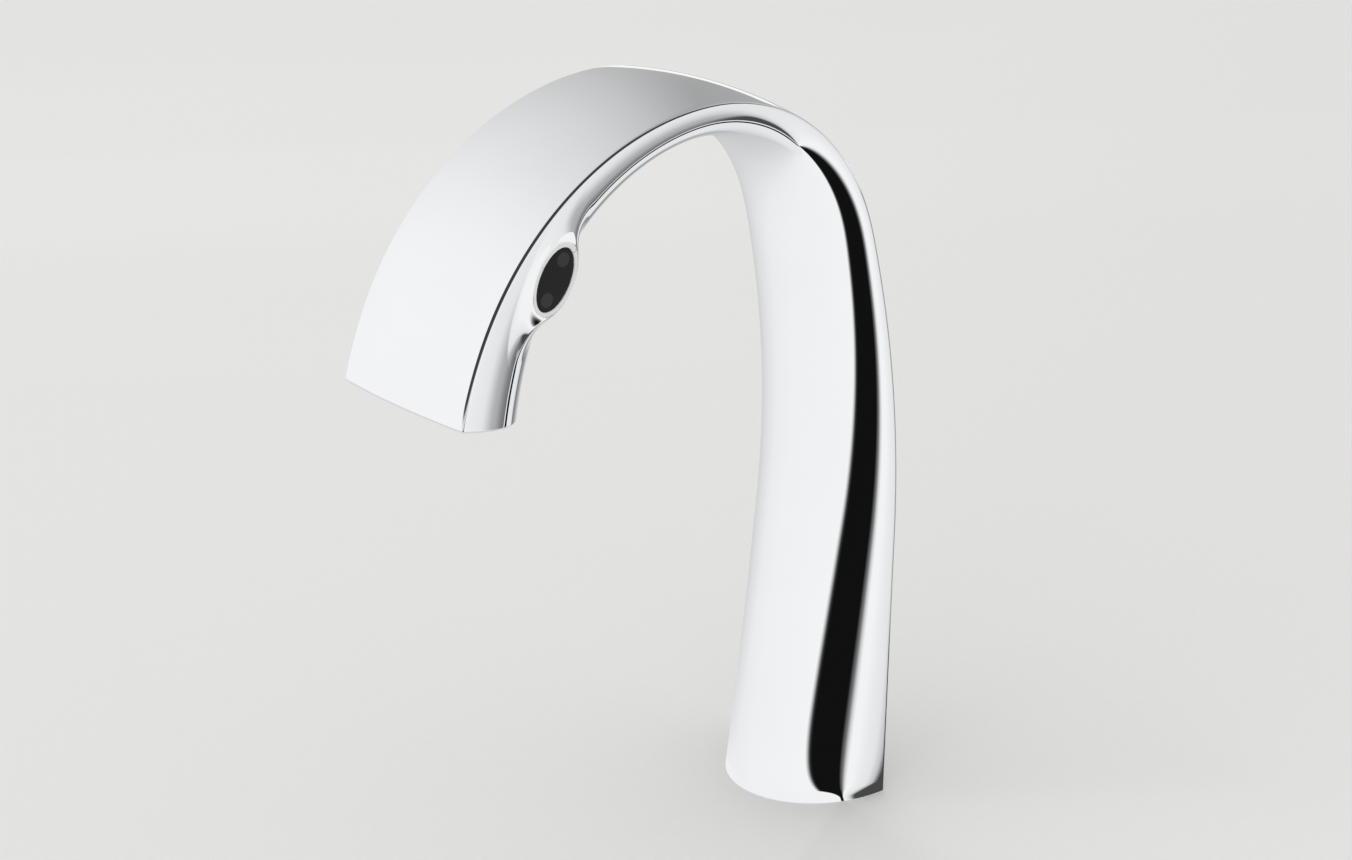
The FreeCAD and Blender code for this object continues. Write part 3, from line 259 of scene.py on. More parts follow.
class StageSizes(bpy.types.PropertyGroup):
    """Camera, floor and light."""
    azimuth: angle_of("Azimuth", 48.94, "Turn of the camera from -Y towards +X")
    elevation: angle_of("Elevation", 21.61, "Height of the camera above the horizon")
    distance: length("Distance", 960.0, "From the camera to its target")
    lens: ratio("Lens", 85.3, "Focal length in millimetres")
    sensor: ratio("Sensor", 36.0, "Width of the camera's sensor in millimetres")
    target: bpy.props.FloatVectorProperty(
        name="Target", description="Point in the middle of the picture", size=3,
        default=(0.0, -0.0486, 0.1319), unit="LENGTH")
    floor_size: length("Floor", 12000.0, "Side of the floor")
    flags_radius: length("Flags", 1500.0, "Radius of the ring of studio flags")
    flags_offset: length("Flags offset", 25.0, "Middle of that ring beside the shank axis")
    flags_height: length("Flags height", 0.05, "Ring of studio flags above the floor")
    room_light: ratio("Room light", 0.92, "Even light that falls on dull surfaces")
    wall_heading: angle_of("Bright wall", -130.0, "Heading of the bright wall from +X")
    dark_heading: angle_of("Dark wall", -30.0, "Heading of the dark wall from +X")


# ---- helpers ---------------------------------------------

def add_node(tree, kind, *inputs, named=None, stops=(), **settings):
    """Adds one node. Kind may end in :OPERATION, inputs are values, sockets or nodes by place or
    name, and stops are the places and grey levels of a colour ramp."""
    kind, _, operation = kind.partition(":")
    node = tree.nodes.new(kind)
    if operation:
        node.operation = operation
    for name, value in settings.items():
        setattr(node, name, value)
    for socket, value in [*enumerate(inputs), *(named or {}).items()]:
        if isinstance(value, bpy.types.Node):
            value = value.outputs[0]
        if isinstance(value, bpy.types.NodeSocket):
            tree.links.new(value, node.inputs[socket])
        elif value is not None:
            node.inputs[socket].default_value = value
    for i, (place, level) in enumerate(stops):
        elements = node.color_ramp.elements
        at_end = i in (0, len(stops) - 1)
        stop = elements[0 if i == 0 else -1] if at_end else elements.new(place)
        stop.position, stop.color = place, (level, level, level, 1.0)
    return node


# kind of a node tree's input for each kind of value
INPUTS = {float: "Float", int: "Int", tuple: "Vector", bpy.types.Object: "Object"}


def new_tree(name, values):
    """Geometry node tree with an input for each named value."""
    tree = bpy.data.node_groups.new(name, "GeometryNodeTree")
    sockets = {"Geometry": "Geometry"}
    sockets.update((socket, INPUTS[type(value)]) for socket, value in values.items())
    for socket, kind in sockets.items():
        tree.interface.new_socket(name=socket, in_out="INPUT", socket_type="NodeSocket" + kind)
    tree.interface.new_socket(
        name="Geometry", in_out="OUTPUT", socket_type="NodeSocketGeometry")
    return tree


def grown_mesh(name, tree, values):
    """Runs a node tree with its inputs set and returns an object with the plain mesh it makes."""
    holder = bpy.data.objects.new(name, bpy.data.meshes.new(name))
    bpy.context.scene.collection.objects.link(holder)
    modifier = holder.modifiers.new("nodes", "NODES")
    modifier.node_group = tree
    for item in tree.interface.items_tree:
        if item.in_out == "INPUT" and item.name in values:
            modifier[item.identifier] = values[item.name]
    bpy.context.view_layer.update()
    shaped = holder.evaluated_get(bpy.context.evaluated_depsgraph_get())
    mesh = bpy.data.meshes.new_from_object(shaped)
    holder.modifiers.remove(modifier)
    empty = holder.data
    holder.data = mesh
    bpy.data.meshes.remove(empty)
    mesh.name = name
    return holder


# ---- materials -------------------------------------------

def new_material(name, grain, tones, rough, metallic=0.0, relief=0.0, stretch=(1, 1, 1),
                 coat=0.0, pattern=NOISE):
    """Material whose colour, gloss and relief follow one pattern with a grain in millimetres."""
    material = bpy.data.materials.new(name)
    material.use_nodes = True
    tree = material.node_tree
    shader = tree.nodes["Principled BSDF"]
    shader.inputs["Metallic"].default_value = metallic
    shader.inputs["Coat Weight"].default_value = coat
    spot = add_node(tree, "ShaderNodeTexCoord").outputs["Object"]
    place = add_node(tree, "ShaderNodeMapping", spot, named={
        "Scale": [1 / (grain * MM * s) for s in stretch]})
    texture = add_node(tree, pattern, place, named={"Scale": 1.0})
    if pattern == NOISE:
        texture.inputs["Detail"].default_value = 3.0
    value = texture.outputs[0]
    colour = add_node(tree, "ShaderNodeMix", value, data_type="RGBA", named={
        COLOUR_A: (*tones[0], 1.0), COLOUR_B: (*tones[1], 1.0)})
    tree.links.new(colour.outputs[COLOUR_OUT], shader.inputs["Base Color"])
    # most of the pattern lies between these two values
    gloss = add_node(tree, "ShaderNodeMapRange", value, 0.3, 0.7, *rough)
    tree.links.new(gloss.outputs[0], shader.inputs["Roughness"])
    if relief:
        bump = add_node(tree, "ShaderNodeBump", named={
            "Strength": 1.0, "Distance": relief * MM, "Height": value})
        tree.links.new(bump.outputs[0], shader.inputs["Normal"])
    return material


def add_lens_spots(material, eye):
    """The two lenses as soft-edged discs in the window's material."""
    tree = material.node_tree
    node = functools.partial(add_node, tree)
    shader = tree.nodes["Principled BSDF"]
    # anti-glare moulding reflects less than clear acrylic
    shader.inputs["Specular IOR Level"].default_value = 0.2
    spot = node("ShaderNodeTexCoord").outputs["Object"]
    across_window = (0.0, 1.0, 1.0)
    distances = []
    for way in (-1, 1):
        lens = Vector(eye.place) + onward(eye.heading) * (way * eye.lens_spread / 2)
        apart = node("ShaderNodeVectorMath:SUBTRACT", spot, tuple(lens))
        level = node("ShaderNodeVectorMath:MULTIPLY", apart, across_window)
        distances.append(node("ShaderNodeVectorMath:LENGTH", level).outputs["Value"])
    # the spots fade over a quarter of their radius
    outer, inner = eye.lens_shown * 1.12, eye.lens_shown * 0.86
    shown = node("ShaderNodeMapRange", node(MINIMUM, *distances), outer, inner, 0.0, 1.0,
                 interpolation_type="SMOOTHSTEP")
    plain = shader.inputs["Base Color"].links[0].from_socket
    mixed = node("ShaderNodeMix", shown, data_type="RGBA", named={
        COLOUR_A: plain, COLOUR_B: (*eye.lens_tone, 1.0)})
    tree.links.new(mixed.outputs[COLOUR_OUT], shader.inputs["Base Color"])


class TAP_OT_finishes(bpy.types.Operator):
    """Materials, and a finish for every piece that keeps its solid's shape"""
    bl_idname = "sensor_tap.finishes"
    bl_label = "Finishes"

    def execute(self, context):
        colours = context.scene.tap_colours
        finishes = {}
        for slot, (name, _, _, grain, settings) in FINISHES.items():
            tones = [getattr(colours, f"{slot}_{which}") for which in TONES]
            finishes[slot] = new_material(name, grain, tones, **settings)
        add_lens_spots(finishes["sensor_window_plastic"], context.scene.tap_eye)
        slots = {part["node"]: part["material_slot"] for part in frame["record"]["subparts"]}
        for name, piece in frame["nodes"].items():
            for place in piece.material_slots:
                place.material = finishes[slots[name]]
        return {"FINISHED"}


# ---- spout: its path -------------------------------------

def path_pieces(sizes):
    """Straight leg and four tangent arcs: radius, start heading, run, start place."""
    angle = sizes.leg_lean
    forward = sizes.leg_run * math.sin(angle)
    height = sizes.leg_run * math.cos(angle)
    pieces = [(None, angle, sizes.leg_run, 0.0, 0.0)]
    for bend in ("shoulder", "crest", "brow", "nose"):
        radius = getattr(sizes, bend + "_radius")
        end = getattr(sizes, bend + "_heading")
        pieces.append((radius, angle, radius * (end - angle), forward, height))
        forward += radius * (math.cos(angle) - math.cos(end))
        height += radius * (math.sin(end) - math.sin(angle))
        angle = end
    return pieces


def path_length(sizes):
    """Length of the corner line from the deck to the outlet end."""
    return sum(piece[2] for piece in path_pieces(sizes))


def corner_point(sizes, station):
    """Point of the corner line in the middle plane, and its heading and curvature."""
    left = station
    for radius, angle, run, forward, height in path_pieces(sizes):
        if left <= run + 1e-9:
            break
        left -= run
    else:
        left = run
    if radius is None:
        forward += left * math.sin(angle)
        height += left * math.cos(angle)
        return Vector((0, sizes.base_axis - forward, height)), angle, 0.0
    end = angle + left / radius
    forward += radius * (math.cos(angle) - math.cos(end))
    height += radius * (math.sin(end) - math.sin(angle))
    return Vector((0, sizes.base_axis - forward, height)), end, 1 / radius


def inward(angle):
    """Direction from the outer face into the spout, where the path has this heading."""
    return Vector((0, -math.cos(angle), -math.sin(angle)))


def onward(angle):
    """Direction along the path, where it has this heading."""
    return Vector((0, -math.sin(angle), math.cos(angle)))


def make_corner_line(sizes, spans=40, resolution=48):
    """Smooth curve through the corner line, whose curvature has no jumps."""
    curve = bpy.data.curves.new("corner_line", "CURVE")
    curve.dimensions = "3D"
    curve.resolution_u = resolution
    spline = curve.splines.new("NURBS")
    run = path_length(sizes)
    step = run / spans
    # a third of a span from each end holds the heading there
    stations = [0.0, step / 3] + [step * i for i in range(1, spans)] + [run - step / 3, run]
    spline.points.add(len(stations) - 1)
    for i, (point, station) in enumerate(zip(spline.points, stations)):
        place, angle, bend = corner_point(sizes, station)
        # control points lie outside a bend by this share of its rise over a span
        share = {0: 0.0, 1: 1 / 3}.get(min(i, len(stations) - 1 - i), 1.0)
        place = place - inward(angle) * (share * step ** 2 * bend / 6)
        point.co = (*place, 1.0)
    spline.order_u = 4
    spline.use_endpoint_u = True
    line = bpy.data.objects.new("corner_line", curve)
    bpy.context.scene.collection.objects.link(line)
    return line


# ---- spout: its skin -------------------------------------

# share of the run over share of the rows: the rows lie closest over the eye
ROW_BENDS = [(0.38, 0.78), (0.93, 0.975)]
# share of the turn over share of the columns: these lie closest on the sensor side
FLANK_BENDS = [(0.66, 0.36)]


def casting_tree(material, values):
    """Node tree that skins the spout along its corner line, with the boss of the eye."""
    tree = new_tree("spout_casting", values)
    node = functools.partial(add_node, tree)
    given = node("NodeGroupInput").outputs
    line = node("GeometryNodeObjectInfo", given["Corner line"])
    sheets = node("GeometryNodeJoinGeometry")

    def sheet(columns, column_bends):
        """Grid with rows along the spout, and its station and share of the columns."""
        grid = node("GeometryNodeMeshGrid", 1.0, 1.0, given["Stations"], columns)
        spot = node("ShaderNodeSeparateXYZ", node("GeometryNodeInputPosition")).outputs
        shares = []
        for part, bends in ((spot[0], ROW_BENDS), (spot[1], column_bends)):
            curve = node("ShaderNodeFloatCurve", 1.0, node(ADD, part, 0.5))
            for place in bends:
                curve.mapping.curves[0].points.new(*place)
            curve.mapping.update()
            shares.append(curve)
        return grid, node(MULTIPLY, shares[0], given["Run"]), shares[1]

    def grown(station, start, end, power, least, most):
        """Least value plus a growth between two stations that follows a power."""
        away = node("ShaderNodeMapRange", station, start, end, 0.0, 1.0)
        return node(MULTIPLY_ADD, node(POWER, away, power), node(SUBTRACT, most, least), least)

    def section(station):
        """Half width and depth at a station."""
        width = grown(station, given["Narrowest at"], 0.0, given["Width taper"],
                      given["Least width"], given["Base width"])
        wider = grown(station, given["Narrowest at"], given["Run"], 2.0, 0.0,
                      node(SUBTRACT, given["Tip width"], given["Least width"]))
        half = node(MULTIPLY, node(ADD, width, wider), 0.5)
        leg = grown(station, given["Thinnest at"], 0.0, given["Leg taper"],
                    given["Least depth"], given["Base depth"])
        past = node(MAXIMUM, node(SUBTRACT, station, given["Thinnest at"]), 0.0)
        turn = node(MULTIPLY, node(DIVIDE, past, given["Swell run"]), math.pi)
        wave = node(MULTIPLY_ADD, node(COSINE, turn), -0.5, 0.5)
        swell = node(MULTIPLY, wave, node(SUBTRACT, given["Nose depth"], given["Least depth"]))
        return half, node(ADD, leg, swell)

    base_half = node(MULTIPLY, given["Base width"], 0.5)
    crown_square = node(MULTIPLY, given["Crown"], given["Crown"])
    radius = node(DIVIDE, node(MULTIPLY_ADD, base_half, base_half, crown_square),
                  node(MULTIPLY, given["Crown"], 2.0))

    def bulge(side):
        """Height of the crowned face over the centre of its arc."""
        squares = node(SUBTRACT, node(MULTIPLY, radius, radius), node(MULTIPLY, side, side))
        return node(SQRT, squares)

    def add_sheet(grid, station, side, inset, rise=0.0):
        """Puts a grid in place from its station, side and inset, and joins it to the others."""
        place = node("ShaderNodeVectorMath:ADD", placed(station, side, inset),
                     node("ShaderNodeCombineXYZ", rise))
        shaped = node("GeometryNodeSetPosition", grid, named={"Position": place})
        tree.links.new(shaped.outputs[0], sheets.inputs[0])

    def placed(station, side, inset):
        """Point of the skin from its station, side and inset."""
        sample = node("GeometryNodeSampleCurve", mode="LENGTH", named={
            "Curves": line.outputs["Geometry"], "Length": station})
        across = node("ShaderNodeVectorMath:CROSS_PRODUCT", (1.0, 0.0, 0.0),
                      sample.outputs["Tangent"])
        # the sections turn level to the deck over the foot
        level = node("ShaderNodeMapRange", station, 0.0, given["Foot run"], 0.0, 1.0)
        across = node("ShaderNodeVectorMath:MULTIPLY", across,
                      node("ShaderNodeCombineXYZ", 1.0, 1.0, level))
        moved = node("ShaderNodeVectorMath:SCALE", across, named={"Scale": inset})
        centred = node("ShaderNodeVectorMath:ADD", sample.outputs["Position"], moved)
        return node("ShaderNodeVectorMath:ADD", centred, node("ShaderNodeCombineXYZ", side))

    def corner_ends(half, depth):
        """Where a rounded corner leaves the face and the flank, and where their tangents meet."""
        cut = given["Corner cut"]
        side = node(SUBTRACT, half, cut)
        inset = node(SUBTRACT, bulge(half), bulge(side))
        slope = node(DIVIDE, side, bulge(side))
        sine = node(DIVIDE, cut, depth)
        cosine = node(COSINE, node(ARCSINE, sine))
        flank_side = node(MULTIPLY, half, cosine)
        lean = node(DIVIDE, node(MULTIPLY, half, sine),
                    node(MULTIPLY, node(MULTIPLY, depth, cosine), -1.0))
        apart = node(SUBTRACT, flank_side, side)
        over = node(SUBTRACT, node(SUBTRACT, cut, inset), node(MULTIPLY, slope, apart))
        step = node(DIVIDE, over, node(MULTIPLY_ADD, slope, lean, -1.0))
        meeting = (node(MULTIPLY_ADD, lean, step, flank_side), node(ADD, cut, step))
        return (side, inset), meeting, (flank_side, cut)

    # outer face: a crowned arc between the two corners
    grid, station, share = sheet(given["Face steps"], [])
    half, _ = section(station)
    edge = node(SUBTRACT, half, given["Corner cut"])
    side = node(MULTIPLY, edge, node(MULTIPLY_ADD, share, 2.0, -1.0))
    add_sheet(grid, station, side, node(SUBTRACT, bulge(half), bulge(side)))

    # rounded corners: a parabola between the tangents of the face and the flank
    for way in (1.0, -1.0):
        grid, station, share = sheet(given["Corner steps"], [])
        along = share if way > 0 else node(SUBTRACT, 1.0, share)
        back = node(SUBTRACT, 1.0, along)
        weights = (node(MULTIPLY, back, back),
                   node(MULTIPLY, node(MULTIPLY, back, along), 2.0),
                   node(MULTIPLY, along, along))
        side = inset = 0.0
        for weight, end in zip(weights, corner_ends(*section(station))):
            side = node(MULTIPLY_ADD, weight, end[0], side)
            inset = node(MULTIPLY_ADD, weight, end[1], inset)
        add_sheet(grid, station, node(MULTIPLY, side, way), inset)

    # sides and inner face: half an ellipse, lifted to the land round the eye
    grid, station, share = sheet(given["Flank steps"], FLANK_BENDS)
    half, depth = section(station)
    first = node(ARCSINE, node(DIVIDE, given["Corner cut"], depth))
    turn = node("ShaderNodeMapRange", share, 0.0, 1.0, first, node(SUBTRACT, math.pi, first))
    side = node(MULTIPLY, half, node(COSINE, turn))
    inset = node(MULTIPLY, depth, node(SINE, turn))
    from_eye = node("ShaderNodeVectorMath:SUBTRACT", placed(station, side, inset),
                    given["Eye place"])
    along, over = (node("ShaderNodeVectorMath:DOT_PRODUCT", from_eye, given[name]).outputs["Value"]
                   for name in ("Eye along", "Eye across"))

    def oval_share(long_half, short_half):
        """1 on the oval, less inside."""
        parts = node(DIVIDE, along, long_half), node(DIVIDE, over, short_half)
        return node(SQRT, node(ADD, *(node(MULTIPLY, part, part) for part in parts)))

    inner_oval = oval_share(given["Land long"], given["Land short"])
    outer_oval = oval_share(node(ADD, given["Land long"], given["Sweep along"]),
                            node(ADD, given["Land short"], given["Sweep across"]))
    beyond = node(MAXIMUM, node(SUBTRACT, inner_oval, 1.0), 0.0)
    before = node(MAXIMUM, node(SUBTRACT, 1.0, outer_oval), 0.0)
    # 0 on the land, 1 where the boss has ended; the last term keeps the sum from zero
    fall = node(DIVIDE, beyond, node(ADD, beyond, node(ADD, before, 1e-6)))
    soft = node("ShaderNodeMapRange", fall, 0.0, 1.0, 1.0, 0.0, interpolation_type="SMOOTHSTEP")
    steady = node(MULTIPLY_ADD, fall, node(MULTIPLY, fall, -1.0), 1.0)
    # towards the corner the boss swells steadily, without a hollow before the land
    cornerwards = node("ShaderNodeMapRange", over, 0.0, node(MULTIPLY, given["Land short"], -1.0),
                       0.0, 1.0, interpolation_type="SMOOTHSTEP")
    lift = node("ShaderNodeMix", cornerwards, named={VALUE_A: soft, VALUE_B: steady})
    lift = node(MULTIPLY, lift, node(GREATER_THAN, side, 0.0))
    rise = node(MULTIPLY, lift, node(SUBTRACT, given["Land side"], side))
    add_sheet(grid, station, side, inset, rise)

    welded = node("GeometryNodeMergeByDistance", sheets, named={"Distance": WELD})
    real = node("GeometryNodeRealizeInstances", node("GeometryNodeSetShadeSmooth", welded))
    node("NodeGroupOutput", node("GeometryNodeSetMaterial", real, named={"Material": material}))
    return tree


# ---- spout: its openings ---------------------------------

def open_loop(mesh, chosen):
    """Corners of one open edge loop, in the order in which the open side sees them."""
    edges = [e for e in mesh.edges if e.is_boundary and all(chosen(v) for v in e.verts)]
    following = {}
    for edge in edges:
        for corner in edge.link_loops:
            following[corner.link_loop_next.vert] = corner.vert
    loop = [next(iter(following))]
    while following[loop[-1]] is not loop[0]:
        loop.append(following[loop[-1]])
    return loop


def add_walls(mesh, loop, rings):
    """Quads from a closed loop through rings of places; returns the last ring."""
    for places in rings:
        ring = [mesh.verts.new(place) for place in places]
        for i, vert in enumerate(loop):
            after = (i + 1) % len(loop)
            mesh.faces.new((vert, loop[after], ring[after], ring[i])).smooth = True
        loop = ring
    return loop


def quarter_turn(steps):
    """Sine, and 1 - cosine, at even steps of a quarter turn, for a rounded edge."""
    for i in range(1, steps + 1):
        turn = math.pi / 2 * i / steps
        yield math.sin(turn), 1 - math.cos(turn)


def level_normals(spots, ahead, middle):
    """Directions from the spots of a loop towards its inside, square to the way ahead."""
    normals = []
    for i, spot in enumerate(spots):
        way = spots[(i + 1) % len(spots)] - spots[i - 1]
        normal = way.cross(ahead).normalized()
        if normal.dot(middle - spot) < 0:
            normal.negate()
        normals.append(normal)
    return normals


def eye_oval(eye, turns, outside, side):
    """Places on an oval a distance outside the window's edge, at a distance from the middle."""
    along, across = onward(eye.heading), inward(eye.heading)
    places = []
    for turn in turns:
        level = Vector((eye.long_half * math.cos(turn), eye.short_half * math.sin(turn)))
        normal = Vector((math.cos(turn) / eye.long_half, math.sin(turn) / eye.short_half))
        level = level + normal.normalized() * outside
        place = Vector(eye.place) + along * level.x + across * level.y
        place.x = side
        places.append(place)
    return places


def cut_eye(mesh, eye, round_steps=5):
    """Oval opening in the land: flat rim, rounded edge, wall and floor."""
    along, across = onward(eye.heading), inward(eye.heading)
    centre = Vector(eye.place)

    def on_land(vert):
        """Whether a corner lies on the land or inside it."""
        spot = vert.co - centre
        share = Vector((spot.dot(along) / (eye.long_half + eye.land),
                        spot.dot(across) / (eye.short_half + eye.land)))
        return vert.co.x > 0 and share.length < 1.0

    gone = [f for f in mesh.faces if any(on_land(v) for v in f.verts)]
    bmesh.ops.delete(mesh, geom=gone, context="FACES")
    # the eye's loop is the only open one within this distance
    reach = eye.long_half * 1.6
    loop = open_loop(mesh, lambda v: (v.co - centre).length < reach)
    turns = []
    for vert in loop:
        spot = vert.co - centre
        turns.append(math.atan2(spot.dot(across) / eye.short_half,
                                spot.dot(along) / eye.long_half))
    edge = eye.land_round
    # narrow strips beside the rounding keep the land and the wall flat
    land_ring, land_strip, wall_strip = eye.land - 0.08 * MM, edge + 0.15 * MM, 0.2 * MM
    rings = [eye_oval(eye, turns, outside, eye.side)
             for outside in (land_ring, land_strip, edge)]
    rings += [eye_oval(eye, turns, edge * (1 - sine), eye.side - edge * rest)
              for sine, rest in quarter_turn(round_steps)]
    rings += [eye_oval(eye, turns, 0.0, eye.side - deep)
              for deep in (edge + wall_strip, eye.pocket)]
    mesh.faces.new(add_walls(mesh, loop, rings))


def cut_outlet(mesh, sizes, centre, round_steps=5):
    """Rounded edge, end face, bore and its floor at the outlet end."""
    last, angle, _ = corner_point(sizes, path_length(sizes) - sizes.end_round)
    ahead = onward(sizes.nose_heading)
    # the end's loop lies on its last section, on the outlet's half of the tap
    slack, nearby = 0.3 * MM, 60 * MM
    loop = open_loop(mesh, lambda v: (v.co - last).dot(onward(angle)) > -slack
                     and v.co.y < last.y + nearby)
    spots = [v.co.copy() for v in loop]
    normals = level_normals(spots, ahead, centre)
    edge = sizes.end_round
    rings = [[spot + ahead * edge * sine + normal * edge * rest
              for spot, normal in zip(spots, normals)]
             for sine, rest in quarter_turn(round_steps)]
    rim = rings[-1]
    end_strip = 0.25 * MM
    rings.append([spot + normal * end_strip for spot, normal in zip(rim, normals)])

    # a narrow bevel leads from the end face into the bore
    for wider, back in ((0.7 * MM, 0), (0.3 * MM, 0), (0, 0.3 * MM), (0, 0.6 * MM),
                        (0, sizes.outlet_deep)):
        circle = []
        for spot in rim:
            out = spot - centre
            out = out - ahead * out.dot(ahead)
            circle.append(centre + out.normalized() * (sizes.outlet_bore + wider) - ahead * back)
        rings.append(circle)
    mesh.faces.new(add_walls(mesh, loop, rings))


def cut_foot(mesh, sizes):
    """Flat rim of the foot, and the open mouth that holds the seal and the base plate."""
    loop = open_loop(mesh, lambda v: abs(v.co.z) < 0.01 * MM)
    spots = [v.co.copy() for v in loop]
    middle = sum(spots, Vector()) / len(spots)
    normals = level_normals(spots, Vector((0, 0, 1)), middle)
    # narrow strips beside the edges keep the rim and the wall flat
    strip = 0.2 * MM
    rings = []
    for inside, high in ((strip, 0.0), (sizes.wall - strip, 0.0), (sizes.wall, 0.0),
                         (sizes.wall, strip), (sizes.wall, sizes.plate_top)):
        ring = [spot + normal * inside for spot, normal in zip(spots, normals)]
        for place in ring:
            place.z = high
        rings.append(ring)
    mesh.faces.new(add_walls(mesh, loop, rings))


class TAP_OT_spout(bpy.types.Operator):
    """Cast spout with its corners, sensor boss, eye opening, outlet bore and foot"""
    bl_idname = "sensor_tap.spout"
    bl_label = "Spout"

    def execute(self, context):
        sizes, eye = context.scene.tap_spout, context.scene.tap_eye
        line = make_corner_line(sizes)
        values = {
            "Corner line": line, "Run": path_length(sizes) - sizes.end_round,
            "Base width": sizes.base_width, "Least width": sizes.waist_width,
            "Tip width": sizes.tip_width, "Narrowest at": sizes.narrowest_at,
            "Base depth": sizes.base_depth, "Least depth": sizes.waist_depth,
            "Nose depth": sizes.nose_depth, "Thinnest at": sizes.waist_at,
            "Swell run": sizes.swell_run, "Leg taper": sizes.leg_taper,
            "Width taper": sizes.width_taper, "Crown": sizes.crown,
            "Foot run": sizes.foot_run, "Corner cut": sizes.corner_round,
            "Stations": sizes.stations, "Face steps": sizes.face_steps,
            "Flank steps": sizes.flank_steps, "Corner steps": sizes.corner_steps,
            "Eye place": tuple(eye.place), "Eye along": tuple(onward(eye.heading)),
            "Eye across": tuple(inward(eye.heading)),
            "Land long": eye.long_half + eye.land, "Land short": eye.short_half + eye.land,
            "Sweep along": eye.sweep_along, "Sweep across": eye.sweep_across,
            "Land side": eye.side}
        chrome = bpy.data.materials["chrome_plated_brass"]
        spout = grown_mesh("spout", casting_tree(chrome, values), values)
        bpy.data.objects.remove(line)
        mesh = bmesh.new()
        mesh.from_mesh(spout.data)
        outlet = next(j for j in frame["joints"] if j["name"] == "aerator_turn")
        cut_eye(mesh, eye)
        cut_outlet(mesh, sizes, Vector(outlet["pos_m"]))
        cut_foot(mesh, sizes)
        mesh.to_mesh(spout.data)
        mesh.free()
        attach(spout, "root")
        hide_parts("spout_body")
        return {"FINISHED"}


# ---- sensor window ---------------------------------------

class TAP_OT_window(bpy.types.Operator):
    """Dark oval window of the sensor, domed, with a rounded edge"""
    bl_idname = "sensor_tap.window"
    bl_label = "Sensor window"

    round_steps = 4
    # rings of the dome, as shares of its radius
    dome_shares = (0.9, 0.75, 0.6, 0.45, 0.3, 0.15)

    def execute(self, context):
        eye = context.scene.tap_eye
        lowest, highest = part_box("sensor_window")
        turns = [2 * math.pi * i / eye.window_steps for i in range(eye.window_steps)]
        edge = eye.window_round
        top = highest.x - eye.dome
        mesh = bmesh.new()
        back = [mesh.verts.new(place) for place in eye_oval(eye, turns, 0.0, lowest.x)]
        mesh.faces.new(back)
        rings = [eye_oval(eye, turns, 0.0, top - edge)]
        rings += [eye_oval(eye, turns, -edge * rest, top - edge * (1 - sine))
                  for sine, rest in quarter_turn(self.round_steps)]
        centre = Vector(eye.place)
        rim = rings[-1]
        for share in self.dome_shares:
            ring = [centre + (spot - centre) * share for spot in rim]
            for place in ring:
                place.x = top + eye.dome * (1 - share ** 2)
            rings.append(ring)
        last = add_walls(mesh, back, rings)
        tip = mesh.verts.new((highest.x, centre.y, centre.z))
        for i, vert in enumerate(last):
            mesh.faces.new((last[i - 1], vert, tip)).smooth = True
        bmesh.ops.recalc_face_normals(mesh, faces=mesh.faces)
        data = bpy.data.meshes.new("window")
        mesh.to_mesh(data)
        mesh.free()
        data.materials.append(bpy.data.materials["infrared_acrylic"])
        window = bpy.data.objects.new("window", data)
        context.scene.collection.objects.link(window)
        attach(window, "root")
        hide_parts("sensor_window")
        return {"FINISHED"}


# ---- threaded shank --------------------------------------

# a sine wave this tall, cut off at the crest and at the root, has both of them rounded flat
THREAD_WAVE = 0.62
# edges that bend more than this stay sharp
SHARP_BEND = math.radians(50)


